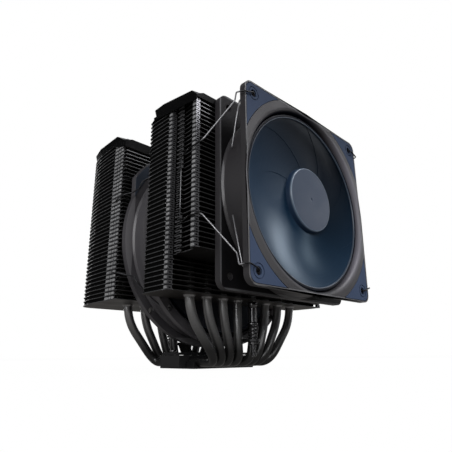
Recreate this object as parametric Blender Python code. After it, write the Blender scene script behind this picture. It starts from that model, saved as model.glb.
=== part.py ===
# Dual tower air cooler: base, eight heat pipes, two fin stacks, two top covers,
# a front fan, a middle fan, fan clips and the sprung mounting screws.
# Origin: centre of the base contact face. +Z up, air flows along +Y, so the front is -Y;
# left is -X. All sizes are in millimetres until emit() scales them to metres.
import bpy
import bmesh
import math
from collections import namedtuple
from mathutils import Vector
from mathutils.geometry import tessellate_polygon

MM = 0.001
GAP = 0.3                 # clearance between neighbouring pieces

# fin stacks
FIN_BOTTOM = 43.4
FIN_TOP = 158.4
FIN_T = 1.0
FIN_COUNT = 12
FIN_CUT_Z = 62.9          # below this height the front tower is cut back
STRIP_X = 74.2            # outer face of the upright side strips
STRIP_INNER_X = STRIP_X - 2.0
FRONT_TOWER_Y0 = -72.7
FRONT_CUT_Y = -52.0       # front edge of the cut-back fins
FRONT_TOWER_Y1 = -20.0
FRONT_NECK_X = 69.6       # half width where the two front fin parts meet
REAR_TOWER_Y0 = 6.0
REAR_TOWER_Y1 = 66.5
TOWER_SCREW_HOLE_R = 3.2

# fans; depths inside a fan are measured back from its front face
FAN_DEPTH = 25.0
FLANGE_T = 4.0
DUCT_T = 1.5
TUBE_DEPTH = 8.0          # where the bearing tube starts
TUBE_FLOOR_DEPTH = 23.5   # where the tube is closed
TUBE_OUTER_R = 4.6
TUBE_INNER_R = 3.3
TUBE_SIDES = 12
SHAFT_R = 1.5

# name, front face y, axis z, bore radius, half the mounting hole spacing, rotor rim radius
Fan = namedtuple("Fan", "name y z bore_r hole_at rim_r")
FRONT_FAN = Fan("front_fan", y=FRONT_TOWER_Y0 - GAP - FAN_DEPTH, z=101.7,
                bore_r=57.9, hole_at=52.5, rim_r=57.2)
# the middle fan is centred in the space between the towers
MIDDLE_FAN = Fan("middle_fan", y=(FRONT_TOWER_Y1 + REAR_TOWER_Y0 - FAN_DEPTH) / 2, z=86.7,
                 bore_r=65.4, hole_at=49.2, rim_r=64.6)

# heat pipes; tables run from the innermost pipe outwards
PIPE_R = 3.0
PIPE_LEG_X = (7.5, 21.0, 35.0, 49.0)
PIPE_BEND_X = (5.2, 11.8, 18.4, 25.0)    # where each pipe starts to rise
PIPE_BEND_Z = (20.0, 34.0, 34.0, 33.0)   # where it turns upright
PIPE_COUNT = 8
PIPE_BASE_PITCH = 6.6
PIPE_BASE_Z = 4.2
PIPE_FRONT_Y = -38.0
PIPE_REAR_Y = 31.5
PIPE_TIP_Z = 160.5

# base, crossbar and mounting screws
BASE_X = 28.0
BASE_Y = 18.5
GROOVE_R = PIPE_R + 0.25
BLOCK_X = 34.0
BLOCK_Y = 10.3
BLOCK_FOOT_Z = 0.8
BLOCK_TOP = 8.5
BAR_Z = BLOCK_TOP + GAP
BAR_T = 1.6
BAR_RISE = 7.9
BAR_SCREW_X = 31.2
SCREW_Y = 45.0
SCREW_TIP_Z = 7.0
SCREW_HEAD_Z = 42.6
SCREW_COLLAR_Z = 27.6     # underside of the collar above the spring


def clear():
    for ob in list(bpy.data.objects):
        bpy.data.objects.remove(ob, do_unlink=True)


# ------------------------------------------------------------------ materials
def material(name, colour, metallic, roughness):
    mat = bpy.data.materials.new(name)
    mat.use_nodes = True
    shader = mat.node_tree.nodes["Principled BSDF"]
    shader.inputs["Base Color"].default_value = (*colour, 1.0)
    shader.inputs["Metallic"].default_value = metallic
    shader.inputs["Roughness"].default_value = roughness
    return mat


def make_materials():
    mats = [
        material("fin_black", colour=(0.020, 0.020, 0.022), metallic=0.75, roughness=0.42),
        material("pipe_black", colour=(0.030, 0.030, 0.033), metallic=0.7, roughness=0.38),
        material("cover_black", colour=(0.016, 0.016, 0.017), metallic=0.6, roughness=0.48),
        material("base_metal", colour=(0.060, 0.060, 0.065), metallic=0.85, roughness=0.35),
        material("block_black", colour=(0.030, 0.030, 0.033), metallic=0.6, roughness=0.42),
        material("crossbar_steel", colour=(0.055, 0.055, 0.060), metallic=0.85, roughness=0.38),
        material("bright_steel", colour=(0.45, 0.45, 0.47), metallic=1.0, roughness=0.28),
        material("wire_steel", colour=(0.33, 0.34, 0.36), metallic=1.0, roughness=0.32),
        material("frame_plastic", colour=(0.030, 0.030, 0.034), metallic=0.0, roughness=0.5),
        material("rotor_plastic", colour=(0.030, 0.060, 0.100), metallic=0.0, roughness=0.35),
        material("pad_rubber", colour=(0.075, 0.095, 0.145), metallic=0.0, roughness=0.7),
        material("magnet_steel", colour=(0.10, 0.10, 0.11), metallic=0.8, roughness=0.5),
        material("stator_copper", colour=(0.55, 0.24, 0.12), metallic=0.9, roughness=0.4),
        material("bearing_brass", colour=(0.60, 0.45, 0.20), metallic=0.95, roughness=0.35),
        material("circuit_green", colour=(0.02, 0.12, 0.06), metallic=0.0, roughness=0.5),
    ]
    return {mat.name: mat for mat in mats}


# ------------------------------------------------------------- shapes to objects
class Shape:
    """Faces over vertices in millimetres, welded while they are added."""

    def __init__(self):
        self.verts = []
        self.faces = []
        self.index = {}

    def add(self, point):
        key = tuple(round(value, 5) for value in point)
        if key not in self.index:
            self.index[key] = len(self.verts)
            self.verts.append(key)
        return self.index[key]

    def face(self, points):
        ids = []
        for point in points:
            i = self.add(point)
            if not ids or ids[-1] != i:
                ids.append(i)
        if len(ids) > 1 and ids[0] == ids[-1]:
            ids.pop()
        if len(set(ids)) >= 3:
            self.faces.append(ids)


def place(name, mesh, mat, origin, sharp):
    mesh.materials.clear()
    mesh.materials.append(mat)
    for poly in mesh.polygons:
        poly.use_smooth = True
    mesh.set_sharp_from_angle(angle=math.radians(sharp))
    ob = bpy.data.objects.new(name, mesh)
    ob.location = Vector(origin) * MM
    bpy.context.scene.collection.objects.link(ob)
    return ob


def emit(name, shape, mat, origin=(0.0, 0.0, 0.0), sharp=35.0):
    """Turn a shape into an object with outward normals; sharp is in degrees."""
    mesh = bpy.data.meshes.new(name)
    offset = Vector(origin)
    verts = [tuple((Vector(v) - offset) * MM) for v in shape.verts]
    mesh.from_pydata(verts, [], shape.faces)
    bm = bmesh.new()
    bm.from_mesh(mesh)
    bmesh.ops.recalc_face_normals(bm, faces=bm.faces)
    if bm.calc_volume(signed=True) < 0.0:
        bmesh.ops.reverse_faces(bm, faces=bm.faces)
    bm.to_mesh(mesh)
    bm.free()
    return place(name, mesh, mat, origin, sharp)


def merged(name, shapes, mat, origin, sharp):
    """Exact union of several closed shapes into one body."""
    weld = 2e-6           # metres
    sources = [emit("%s_src%d" % (name, i), shape, mat, origin, sharp)
               for i, shape in enumerate(shapes)]
    base = sources[0]
    for other in sources[1:]:
        mod = base.modifiers.new("join", "BOOLEAN")
        mod.operation = "UNION"
        mod.solver = "EXACT"
        mod.object = other
    depsgraph = bpy.context.evaluated_depsgraph_get()
    mesh = bpy.data.meshes.new_from_object(base.evaluated_get(depsgraph), depsgraph=depsgraph)
    for ob in sources:
        old = ob.data
        bpy.data.objects.remove(ob, do_unlink=True)
        bpy.data.meshes.remove(old)
    bm = bmesh.new()
    bm.from_mesh(mesh)
    bmesh.ops.remove_doubles(bm, verts=bm.verts, dist=weld)
    bmesh.ops.dissolve_degenerate(bm, edges=bm.edges, dist=weld)
    bmesh.ops.triangulate(bm, faces=bm.faces)
    bm.to_mesh(mesh)
    bm.free()
    mesh.name = name
    return place(name, mesh, mat, origin, sharp)


# --------------------------------------------------------------- plane outlines
def circle(x, y, radius, sides, start=0.0):
    return [(x + radius * math.cos(start + 2 * math.pi * i / sides),
             y + radius * math.sin(start + 2 * math.pi * i / sides)) for i in range(sides)]


def square(x, y, half):
    return [(x - half, y - half), (x + half, y - half), (x + half, y + half), (x - half, y + half)]


def polar(radius, angle):
    return (radius * math.cos(angle), radius * math.sin(angle))


def mirror_loop(half):
    """Close a half outline of (x > 0, y) points by mirroring it in x."""
    return [(-x, y) for x, y in half] + [(x, y) for x, y in reversed(half)]


def turn(loop, quarters):
    cos = round(math.cos(quarters * math.pi / 2))
    sin = round(math.sin(quarters * math.pi / 2))
    return [(x * cos - y * sin, x * sin + y * cos) for x, y in loop]


def fill(loops):
    """Triangles covering the first loop less the others."""
    flat = [p for loop in loops for p in loop]
    triangles = tessellate_polygon([[Vector((x, y, 0.0)) for x, y in loop] for loop in loops])
    return [[flat[i] for i in triangle] for triangle in triangles]


# ---------------------------------------------------------------- solid builders
def upright(u, v, w):
    return (u, v, w)


def along_y(y0, z0):
    """Map an outline to the XZ plane around z0, with its levels running back from y0."""
    def to_space(u, v, w):
        return (u, y0 + w, z0 + v)
    return to_space


def layered(cells, levels, solid, to_space):
    """Stack flat cells into one solid.

    cells: lists of loops [outer, hole, ...]; solid[k]: the cells filled between
    levels k and k+1. Faces appear wherever filled meets empty.
    """
    shape = Shape()
    cells = [[[(round(x, 4), round(y, 4)) for x, y in loop] for loop in loops]
             for loops in cells]
    edge_cells = {}
    for c, loops in enumerate(cells):
        for loop in loops:
            for a, b in zip(loop, loop[1:] + loop[:1]):
                edge_cells.setdefault((min(a, b), max(a, b)), []).append(c)

    # level faces, noting the levels at which each corner carries one
    triangles = [fill(loops) for loops in cells]
    corner_levels = {}
    slabs = [set()] + solid + [set()]
    for i, (level, below, above) in enumerate(zip(levels, slabs, slabs[1:])):
        for c, loops in enumerate(cells):
            if (c in below) == (c in above):
                continue
            for triangle in triangles[c]:
                shape.face([to_space(x, y, level) for x, y in triangle])
            for loop in loops:
                for p in loop:
                    corner_levels.setdefault(p, set()).add(i)

    # walls, each as tall as its filled cell stays the same
    for (a, b), sharing in edge_cells.items():
        filled = [[c for c in sharing if c in slab] for slab in solid]
        k = 0
        while k < len(solid):
            if len(filled[k]) != 1:
                k += 1
                continue
            end = k + 1
            while end < len(solid) and filled[end] == filled[k]:
                end += 1
            up = [i for i in range(k, end + 1)
                  if i in (k, end) or i in corner_levels.get(b, ())]
            down = [i for i in range(end, k - 1, -1)
                    if i in (k, end) or i in corner_levels.get(a, ())]
            shape.face([to_space(*b, levels[i]) for i in up]
                       + [to_space(*a, levels[i]) for i in down])
            k = end
    return shape


def lathe(profile, sides, centre, axis):
    """Turn a closed list of (radius, height) points; points on the axis merge."""
    shape = Shape()
    x, y, z = centre

    def point(radius, height, i):
        across, over = polar(radius, 2 * math.pi * i / sides)
        if axis == "y":
            return (x + across, y + height, z + over)
        return (x + across, y + over, z + height)

    for start, end in zip(profile, profile[1:] + profile[:1]):
        if start[0] == 0.0 and end[0] == 0.0:
            continue
        for i in range(sides):
            j = (i + 1) % sides
            shape.face([point(*start, i), point(*end, i), point(*end, j), point(*start, j)])
    return shape


def ring_profile(inner_r, outer_r, start, end):
    return [(inner_r, start), (outer_r, start), (outer_r, end), (inner_r, end)]


def sweep(points, radius, sides, phase=0.0):
    """Round bar along a polyline, with rotation-minimising frames and flat ends."""
    shape = Shape()
    path = [Vector(p) for p in points]
    runs = [(b - a).normalized() for a, b in zip(path, path[1:])]
    tangents = [runs[0]] + [(a + b).normalized() for a, b in zip(runs, runs[1:])] + [runs[-1]]
    first = tangents[0]
    guide = Vector((1, 0, 0)) if abs(first.x) < 0.9 else Vector((0, 1, 0))
    across = (guide - first * guide.dot(first)).normalized()
    rings = []
    for i, (centre, tangent) in enumerate(zip(path, tangents)):
        across = (across - tangent * across.dot(tangent)).normalized()
        over = tangent.cross(across)
        # widen the ring at a corner by half of a full mitre
        stretch = 1.0
        if 0 < i < len(path) - 1:
            stretch = 0.5 * (1.0 + 1.0 / max(0.75, runs[i - 1].dot(tangent)))
        ring = []
        for j in range(sides):
            angle = phase + 2 * math.pi * j / sides
            spoke = across * math.cos(angle) + over * math.sin(angle)
            ring.append(tuple(centre + spoke * radius * stretch))
        rings.append(ring)
    for ring, following in zip(rings, rings[1:]):
        for j in range(sides):
            k = (j + 1) % sides
            shape.face([ring[j], ring[k], following[k], following[j]])
    shape.face(list(reversed(rings[0])))
    shape.face(rings[-1])
    return shape


# ------------------------------------------------------------------ fin stacks
def tower_holes(pipe_y, screw_y):
    half = PIPE_R + GAP + 0.1
    pipes = [square(side * x, pipe_y, half) for x in PIPE_LEG_X for side in (-1, 1)]
    return pipes + [circle(0.0, screw_y, TOWER_SCREW_HOLE_R, 6)]


def strip_cells(y0, y1):
    """Left and right side strips, each a cell of its own."""
    return [[[(side * STRIP_X, y0), (side * STRIP_INNER_X, y0),
              (side * STRIP_INNER_X, y1), (side * STRIP_X, y1)]] for side in (-1, 1)]


def fin_stack(name, cells, filling, mat):
    """filling(z) gives the cells filled in the fin at z and in the gap above it."""
    pitch = (FIN_TOP - FIN_BOTTOM - FIN_T) / (FIN_COUNT - 1)
    levels, solid = [], []
    for i in range(FIN_COUNT):
        z = FIN_BOTTOM + i * pitch
        levels += [z, z + FIN_T]
        solid += filling(z)
    solid.pop()           # no gap above the top fin
    emit(name, layered(cells, levels, solid, upright), mat)


def front_stack(mat):
    y0, y_cut, y1 = FRONT_TOWER_Y0, FRONT_CUT_Y, FRONT_TOWER_Y1
    y0_strip_end = y0 + 4.8
    cut_strip_end = y_cut + 6.0
    fore = mirror_loop([(STRIP_INNER_X, y0), (STRIP_INNER_X, y0_strip_end),
                        (FRONT_NECK_X, y0 + 14.5), (FRONT_NECK_X, y_cut)])
    aft = mirror_loop([(FRONT_NECK_X, y_cut), (STRIP_INNER_X, y_cut),
                       (STRIP_INNER_X, cut_strip_end), (73.6, y_cut + 6.5), (73.6, y1 - 7.0),
                       (72.2, y1 - 2.2), (68.5, y1)])
    cells = [[fore], [aft] + tower_holes(PIPE_FRONT_Y, -SCREW_Y)]
    cells += strip_cells(y0, y0_strip_end) + strip_cells(y_cut, cut_strip_end)

    def filling(z):
        # the fore part and its strips exist only above the cut
        if z > FIN_CUT_Z:
            return [{0, 1, 2, 3, 4, 5}, {2, 3, 4, 5}]
        return [{1, 4, 5}, {4, 5}]
    fin_stack("front_fin_stack", cells, filling, mat)


def rear_stack(mat):
    y0, y1 = REAR_TOWER_Y0, REAR_TOWER_Y1
    strip_end = y0 + 5.8
    strip2_start = y0 + 8.8
    strip2_end = y0 + 14.6
    notch_x = 71.0        # the edge steps in between the two strips
    body = mirror_loop([(STRIP_INNER_X, y0), (STRIP_INNER_X, strip_end), (notch_x, strip_end),
                        (notch_x, strip2_start), (STRIP_INNER_X, strip2_start),
                        (STRIP_INNER_X, strip2_end), (73.6, y0 + 15.0), (73.0, y0 + 38.0),
                        (70.6, y1 - 8.5), (66.8, y1 - 2.2), (60.0, y1)])
    cells = [[body] + tower_holes(PIPE_REAR_Y, SCREW_Y)]
    cells += strip_cells(y0, strip_end) + strip_cells(strip2_start, strip2_end)
    fin_stack("rear_fin_stack", cells, lambda z: [{0, 1, 2, 3, 4}, {1, 2, 3, 4}], mat)


# ------------------------------------------------------------------ top covers
COVER_Z0 = FIN_TOP + GAP
COVER_Z1 = 165.8
COVER_ROOF_T = 1.8
COVER_WALL = 2.2          # inset of the hollow at the bottom
COVER_WALL_TOP = COVER_WALL + 1.0
COVER_HOLE_R = 3.4

# right half outlines (x, y), front to back
FRONT_COVER_BOTTOM = [(64.0, -67.0), (70.6, -62.4), (72.0, -34.4), (68.0, -32.0)]
FRONT_COVER_TOP = [(62.5, -65.2), (71.0, -62.6), (74.2, -30.0), (70.0, -28.0)]
REAR_COVER_BOTTOM = [(66.0, 20.0), (71.8, 23.0), (71.8, 43.0), (69.6, 57.0), (60.0, 64.0)]
REAR_COVER_TOP = [(66.5, 18.8), (74.0, 20.4), (73.0, 47.0), (69.4, 61.4), (60.0, 65.8)]


def cover(name, bottom_half, top_half, screw_y, mat):
    """Cap over a tower, hollow underneath, with a round hole above the screw."""
    bottom, top = mirror_loop(bottom_half), mirror_loop(top_half)
    middle_y = sum(y for x, y in bottom) / len(bottom)
    shape = Shape()

    def inset(loop, distance):
        return [(x - math.copysign(distance, x), y - math.copysign(distance, y - middle_y))
                for x, y in loop]

    def walls(low, low_z, high, high_z):
        for i in range(len(low)):
            j = (i + 1) % len(low)
            shape.face([(*low[i], low_z), (*low[j], low_z), (*high[j], high_z),
                        (*high[i], high_z)])

    def cap(loops, z):
        for triangle in fill(loops):
            shape.face([(x, y, z) for x, y in triangle])

    inner_bottom = inset(bottom, COVER_WALL)
    inner_top = inset(top, COVER_WALL_TOP)
    ceiling_z = COVER_Z1 - COVER_ROOF_T
    hole = circle(0.0, screw_y, COVER_HOLE_R, 8)
    walls(bottom, COVER_Z0, top, COVER_Z1)
    walls(inner_bottom, COVER_Z0, inner_top, ceiling_z)
    walls(hole, ceiling_z, hole, COVER_Z1)
    cap([top, hole], COVER_Z1)
    cap([inner_top, hole], ceiling_z)
    cap([bottom, inner_bottom], COVER_Z0)
    emit(name, shape, mat)


# ------------------------------------------------------------------ heat pipes
BEND_REACH = 12.0         # length of each straight run given up to a bend
BEND_STEPS = 4


def bent(points):
    """Polyline with every inner corner replaced by a quadratic bend."""
    path = [Vector(p) for p in points]
    out = [tuple(path[0])]
    for before, corner, after in zip(path, path[1:], path[2:]):
        back, ahead = before - corner, after - corner
        start = corner + back.normalized() * min(BEND_REACH, back.length * 0.48)
        end = corner + ahead.normalized() * min(BEND_REACH, ahead.length * 0.48)
        for k in range(BEND_STEPS + 1):
            t = k / BEND_STEPS
            out.append(tuple(start * (1 - t) ** 2 + corner * 2 * t * (1 - t) + end * t * t))
    out.append(tuple(path[-1]))
    return out


def heat_pipe(i, mat):
    """Level run through the base, then a slanted rise and an upright leg at each end."""
    per_side = PIPE_COUNT // 2
    side = -1 if i < per_side else 1
    rank = per_side - 1 - i if i < per_side else i - per_side    # 0 is innermost
    base_x = side * PIPE_BASE_PITCH * (rank + 0.5)
    bend_x = side * PIPE_BEND_X[rank]
    leg_x = side * PIPE_LEG_X[rank]

    def half(leg_y, end):
        return bent([(base_x, end * (BASE_Y + 1.4), PIPE_BASE_Z),
                     (bend_x, leg_y - end * 1.0, PIPE_BASE_Z - 0.1),
                     (leg_x, leg_y, PIPE_BEND_Z[rank]),
                     (leg_x, leg_y, PIPE_TIP_Z)])
    path = list(reversed(half(PIPE_FRONT_Y, -1))) + half(PIPE_REAR_Y, 1)
    shape = sweep(path, PIPE_R, sides=8, phase=math.pi / 8)
    emit("heat_pipe_%d" % (i + 1), shape, mat, sharp=50.0)


# ------------------------------------------------------------------------ base
def groove_x(i):
    return PIPE_BASE_PITCH * (i - (PIPE_COUNT - 1) / 2)


def base_plate(mat):
    """Plate with a half round groove for each pipe in its top."""
    loop = [(-BASE_X, 0.0), (BASE_X, 0.0), (BASE_X, PIPE_BASE_Z)]
    for i in reversed(range(PIPE_COUNT)):
        for step in range(5):
            x, z = polar(GROOVE_R, -math.pi * step / 4)
            loop.append((groove_x(i) + x, PIPE_BASE_Z + z))
    loop.append((-BASE_X, PIPE_BASE_Z))
    emit("base_plate", layered([[loop]], [-BASE_Y, BASE_Y], [{0}], along_y(0.0, 0.0)), mat)


def base_block(mat):
    """Bridge over the pipes; its feet stand beside the base plate."""
    foot_x = BASE_X + GAP
    under_z = PIPE_BASE_Z + GAP
    mouth = math.sqrt(GROOVE_R ** 2 - GAP ** 2)    # half width of a groove at its opening
    loop = [(-BLOCK_X, BLOCK_FOOT_Z), (-foot_x, BLOCK_FOOT_Z), (-foot_x, under_z)]
    for i in range(PIPE_COUNT):
        loop.append((groove_x(i) - mouth, under_z))
        for degrees in (135.0, 90.0, 45.0):
            x, z = polar(GROOVE_R, math.radians(degrees))
            loop.append((groove_x(i) + x, PIPE_BASE_Z + z))
        loop.append((groove_x(i) + mouth, under_z))
    loop += [(foot_x, under_z), (foot_x, BLOCK_FOOT_Z), (BLOCK_X, BLOCK_FOOT_Z),
             (BLOCK_X, BLOCK_TOP), (-BLOCK_X, BLOCK_TOP)]
    shape = layered([[loop]], [-BLOCK_Y, BLOCK_Y], [{0}], along_y(0.0, 0.0))
    emit("base_clamp_block", shape, mat)


def crossbar(mat):
    """Flat plate over the block, with an arm to the front and rear that steps up to an eye."""
    plate_x, plate_y = 33.6, 9.6
    root_x = 8.0          # half width of an arm at the plate
    rise_y0, rise_y1 = 22.0, 30.0
    eye_r, eye_hole_r = 4.3, 2.1
    eye_steps = 10
    neck_x = 2.3          # half width of an arm at its eye
    neck_y = SCREW_Y - math.sqrt(eye_r ** 2 - neck_x ** 2)
    # (distance from centre along y, half width)
    stations = [(plate_y, root_x), (rise_y0, 6.0), (rise_y1, 4.2), (34.5, neck_x),
                (neck_y, neck_x)]

    def to_space(x, y, z):
        part = (abs(y) - rise_y0) / (rise_y1 - rise_y0)
        return (x, y, z + BAR_RISE * min(1.0, max(0.0, part)))

    plate = [(-plate_x, -plate_y), (-root_x, -plate_y), (root_x, -plate_y), (plate_x, -plate_y),
             (plate_x, plate_y), (root_x, plate_y), (-root_x, plate_y), (-plate_x, plate_y)]
    cells = [[plate] + [circle(side * BAR_SCREW_X, 0.0, 1.5, 8, math.pi / 8)
                        for side in (-1, 1)]]
    start = math.atan2(neck_y - SCREW_Y, neck_x)
    for end in (-1, 1):
        for (near, near_x), (far, far_x) in zip(stations, stations[1:]):
            cells.append([[(-near_x, end * near), (near_x, end * near),
                           (far_x, end * far), (-far_x, end * far)]])
        eye = []
        for i in range(eye_steps + 1):
            x, y = polar(eye_r, start + (math.pi - 2 * start) * i / eye_steps)
            eye.append((x, end * (SCREW_Y + y)))
        cells.append([eye, circle(0.0, end * SCREW_Y, eye_hole_r, 10)])
    shape = layered(cells, [BAR_Z, BAR_Z + BAR_T], [set(range(len(cells)))], to_space)
    emit("mounting_crossbar", shape, mat, sharp=20.0)


# ------------------------------------------------------------ mounting screws
# Each takes end: -1 for the front one, 1 for the rear one.
def spring_screw(name, end, mat):
    head, recess_z = SCREW_HEAD_Z, SCREW_HEAD_Z - 2.2
    profile = [(0.0, SCREW_TIP_Z), (1.2, SCREW_TIP_Z), (1.9, SCREW_TIP_Z + 0.8), (1.9, 14.9),
               (1.55, 15.1), (1.55, SCREW_COLLAR_Z), (3.3, SCREW_COLLAR_Z), (3.3, 28.7),
               (1.8, 29.3), (1.8, 38.6), (2.9, 39.2), (2.9, head - 0.4), (2.5, head),
               (1.4, head), (1.4, recess_z), (0.0, recess_z)]
    shape = lathe(profile, 10, (0.0, end * SCREW_Y, 0.0), "z")
    emit(name, shape, mat, origin=(0.0, end * SCREW_Y, head), sharp=40.0)


def spring(name, end, mat):
    coil_r, wire_r = 2.75, 0.42
    end_inset = 0.45      # wire centre to the clearance at either end
    turns, steps = 3.5, 34
    z0 = BAR_Z + BAR_RISE + BAR_T + GAP + end_inset
    z1 = SCREW_COLLAR_Z - GAP - end_inset
    points = []
    for i in range(steps + 1):
        x, y = polar(coil_r, 2 * math.pi * turns * i / steps)
        points.append((x, end * SCREW_Y + y, z0 + (z1 - z0) * i / steps))
    emit(name, sweep(points, wire_r, sides=4), mat, origin=(0.0, end * SCREW_Y, 0.0), sharp=60.0)


def washer(name, end, mat):
    shape = lathe(ring_profile(1.85, 3.4, 15.3, 16.35), 12, (0.0, end * SCREW_Y, 0.0), "z")
    emit(name, shape, mat, origin=(0.0, end * SCREW_Y, 15.8))


def bar_screw(name, side, mat):
    """Small screw whose shank sits in the crossbar plate."""
    shank_z = BAR_Z + 0.1
    head_z = BAR_Z + BAR_T + GAP
    profile = [(0.0, shank_z), (1.15, shank_z), (1.15, head_z), (2.3, head_z),
               (2.3, head_z + 1.0), (1.8, head_z + 1.4), (0.9, head_z + 1.4),
               (0.9, head_z + 0.8), (0.0, head_z + 0.8)]
    shape = lathe(profile, 10, (side * BAR_SCREW_X, 0.0, 0.0), "z")
    emit(name, shape, mat, origin=(side * BAR_SCREW_X, 0.0, head_z))


# ------------------------------------------------------------------ fan frames
FAN_HALF = 60.0           # half side of the square front frame
FAN_CHAMFER = 6.0
FAN_HOLE_R = 2.15
PAD_ARC_R = 65.5          # the corner regions lie outside this radius
PAD_T = 1.2
PAD_HOLE_R = 2.6
QUADRANTS = ((1, 1), (-1, 1), (-1, -1), (1, -1))    # signs of x and z, by quarter turns

MID_HALF = 67.5           # half width at the straight shoulders
MID_EAR_R = 79.5          # rounded ears of the upper half
MID_ROUND_R = 72.5        # round lower half

STRUT_ANGLES = [math.radians(d) for d in (40.0, 130.0, 220.0, 310.0)]
STRUT_SWEEP = 0.30        # turn of a strut from bore to hub, radians
STRUT_BORE_HALF = 0.034   # half width of a strut at the bore, radians
STRUT_HUB_HALF = 0.11     # half width of a strut at the hub, radians
FRAME_HUB_R = 20.6


def strut_angles(count, struts, half):
    """Even angles round a circle, replaced near each strut by the strut's two edges."""
    def apart(a, b):
        return abs((a - b + math.pi) % (2 * math.pi) - math.pi)

    marks = [t + d for t in struts for d in (-half, half)]
    keep = []
    for i in range(count):
        angle = 2 * math.pi * i / count
        near = any(apart(angle, m) < 0.055 for m in marks)
        inside = any(apart(angle, t) < half for t in struts)
        if not near and not inside:
            keep.append(angle)
    return sorted(keep + [m % (2 * math.pi) for m in marks])


def corner_region(gap=0.0):
    """Corner of the front frame outside the pad arc, first quadrant.

    Points 0 and 4 are the ends of the arc, 1 to 3 the chamfered corner,
    and the points from 5 on run back along the arc.
    """
    half = FAN_HALF
    radius = PAD_ARC_R + gap
    reach = math.sqrt(radius * radius - half * half)
    start = math.atan2(reach, half)
    chamfered = half - FAN_CHAMFER
    tip = half - FAN_CHAMFER * 0.3
    arc = [polar(radius, (math.pi / 2 - start) + (2 * start - math.pi / 2) * i / 6)
           for i in range(1, 6)]
    return [(half, reach), (half, chamfered), (tip, tip), (chamfered, half), (reach, half)] + arc


def fan_frame(fan, flange_cells, mat, recess=0.0):
    """Duct, flanges, rear struts and bearing tube.

    With a recess, only the first flange cell reaches the front face.
    """
    swept = [t + STRUT_SWEEP for t in STRUT_ANGLES]
    bore = [polar(fan.bore_r, a) for a in strut_angles(40, STRUT_ANGLES, STRUT_BORE_HALF)]
    hub = [polar(FRAME_HUB_R, a) for a in strut_angles(28, swept, STRUT_HUB_HALF)]
    tube_outer = circle(0.0, 0.0, TUBE_OUTER_R, TUBE_SIDES)
    tube_inner = circle(0.0, 0.0, TUBE_INNER_R, TUBE_SIDES)
    cells = [[duct_circle(fan), bore]] + flange_cells
    duct = {0}
    flange = set(range(len(cells)))
    hub_index = len(cells)
    tube = {hub_index + 1}
    tube_floor = {hub_index + 2}
    cells += [[hub, tube_outer], [tube_outer, tube_inner], [tube_inner]]
    for angle in STRUT_ANGLES:
        cells.append([[polar(fan.bore_r, angle - STRUT_BORE_HALF),
                       polar(fan.bore_r, angle + STRUT_BORE_HALF),
                       polar(FRAME_HUB_R, angle + STRUT_SWEEP + STRUT_HUB_HALF),
                       polar(FRAME_HUB_R, angle + STRUT_SWEEP - STRUT_HUB_HALF)]])
    rear = (flange | set(range(hub_index, len(cells)))) - tube_floor

    levels = [0.0, FLANGE_T, TUBE_DEPTH, FAN_DEPTH - FLANGE_T, TUBE_FLOOR_DEPTH, FAN_DEPTH]
    slabs = [flange, duct, duct | tube, rear, rear | tube_floor]
    if recess:
        levels.insert(1, recess)
        slabs.insert(0, {0, 1})
    shape = layered(cells, levels, slabs, along_y(fan.y, fan.z))
    emit(fan.name + "_frame", shape, mat, origin=(0.0, fan.y, fan.z))


def duct_circle(fan):
    return circle(0.0, 0.0, fan.bore_r + DUCT_T, 40)


def front_frame(mat):
    """Square frame whose corners are recessed for the pads."""
    fan = FRONT_FAN
    region = corner_region()
    inner_edge = [region[0]] + list(reversed(region[5:])) + [region[4]]
    body = [p for q in range(4) for p in turn(inner_edge, q)]
    corners = []
    for q, (side, rise) in enumerate(QUADRANTS):
        hole = circle(side * fan.hole_at, rise * fan.hole_at, FAN_HOLE_R, 8)
        corners.append([turn(region, q), hole])
    fan_frame(fan, [[body, duct_circle(fan)]] + corners, mat, recess=PAD_T + GAP)


def middle_frame(mat):
    """Frame that is round below, with straight shoulders and rounded ears above."""
    fan = MIDDLE_FAN
    side = math.acos(MID_HALF / MID_ROUND_R)
    ear = math.acos(MID_HALF / MID_EAR_R)
    # radius, start angle, end angle, steps
    arcs = [(MID_EAR_R, ear, math.pi / 2 - ear, 5),
            (MID_EAR_R, math.pi / 2 + ear, math.pi - ear, 5),
            (MID_ROUND_R, math.pi - side, 2 * math.pi + side, 22)]
    outline = [polar(radius, start + (end - start) * i / steps)
               for radius, start, end, steps in arcs for i in range(steps + 1)]
    holes = [circle(x * fan.hole_at, z * fan.hole_at, FAN_HOLE_R, 8)
             for x in (-1, 1) for z in (-1, 1)]
    fan_frame(fan, [[outline, duct_circle(fan)] + holes], mat)


def pad(name, quarter, mat):
    fan = FRONT_FAN
    x, z = (sign * fan.hole_at for sign in QUADRANTS[quarter])
    cell = [turn(corner_region(GAP), quarter), circle(x, z, PAD_HOLE_R, 8)]
    shape = layered([cell], [0.0, PAD_T], [{0}], along_y(fan.y, fan.z))
    emit(name, shape, mat, origin=(x, fan.y, fan.z + z))


# ---------------------------------------------------------------------- rotors
HUB_R = 21.7
ROTOR_END = 20.2          # depth of the rear edge of hub and rim
RIM_T = 1.2
BLADES = 7
BLADE_STEPS = 3           # divisions along both span and chord
BLADE_ROOT_R = 20.95
BLADE_FRONT = 5.0
BLADE_BACK = 18.6
BLADE_HALF_T = 0.75
BLADE_LEAN = 24.0         # turn of the blade at the rim, degrees

# rotor hub, open to the rear, with a socket for the shaft: (radius, depth)
HUB_PROFILE = [(0.0, 0.5), (17.6, 0.5), (20.4, 1.5), (HUB_R, 4.0), (HUB_R, ROTOR_END),
               (20.2, ROTOR_END), (20.2, 5.0), (18.6, 3.2), (4.0, 3.2), (4.0, 7.0),
               (SHAFT_R + GAP, 7.0), (SHAFT_R + GAP, 3.0), (0.0, 3.0)]


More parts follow.
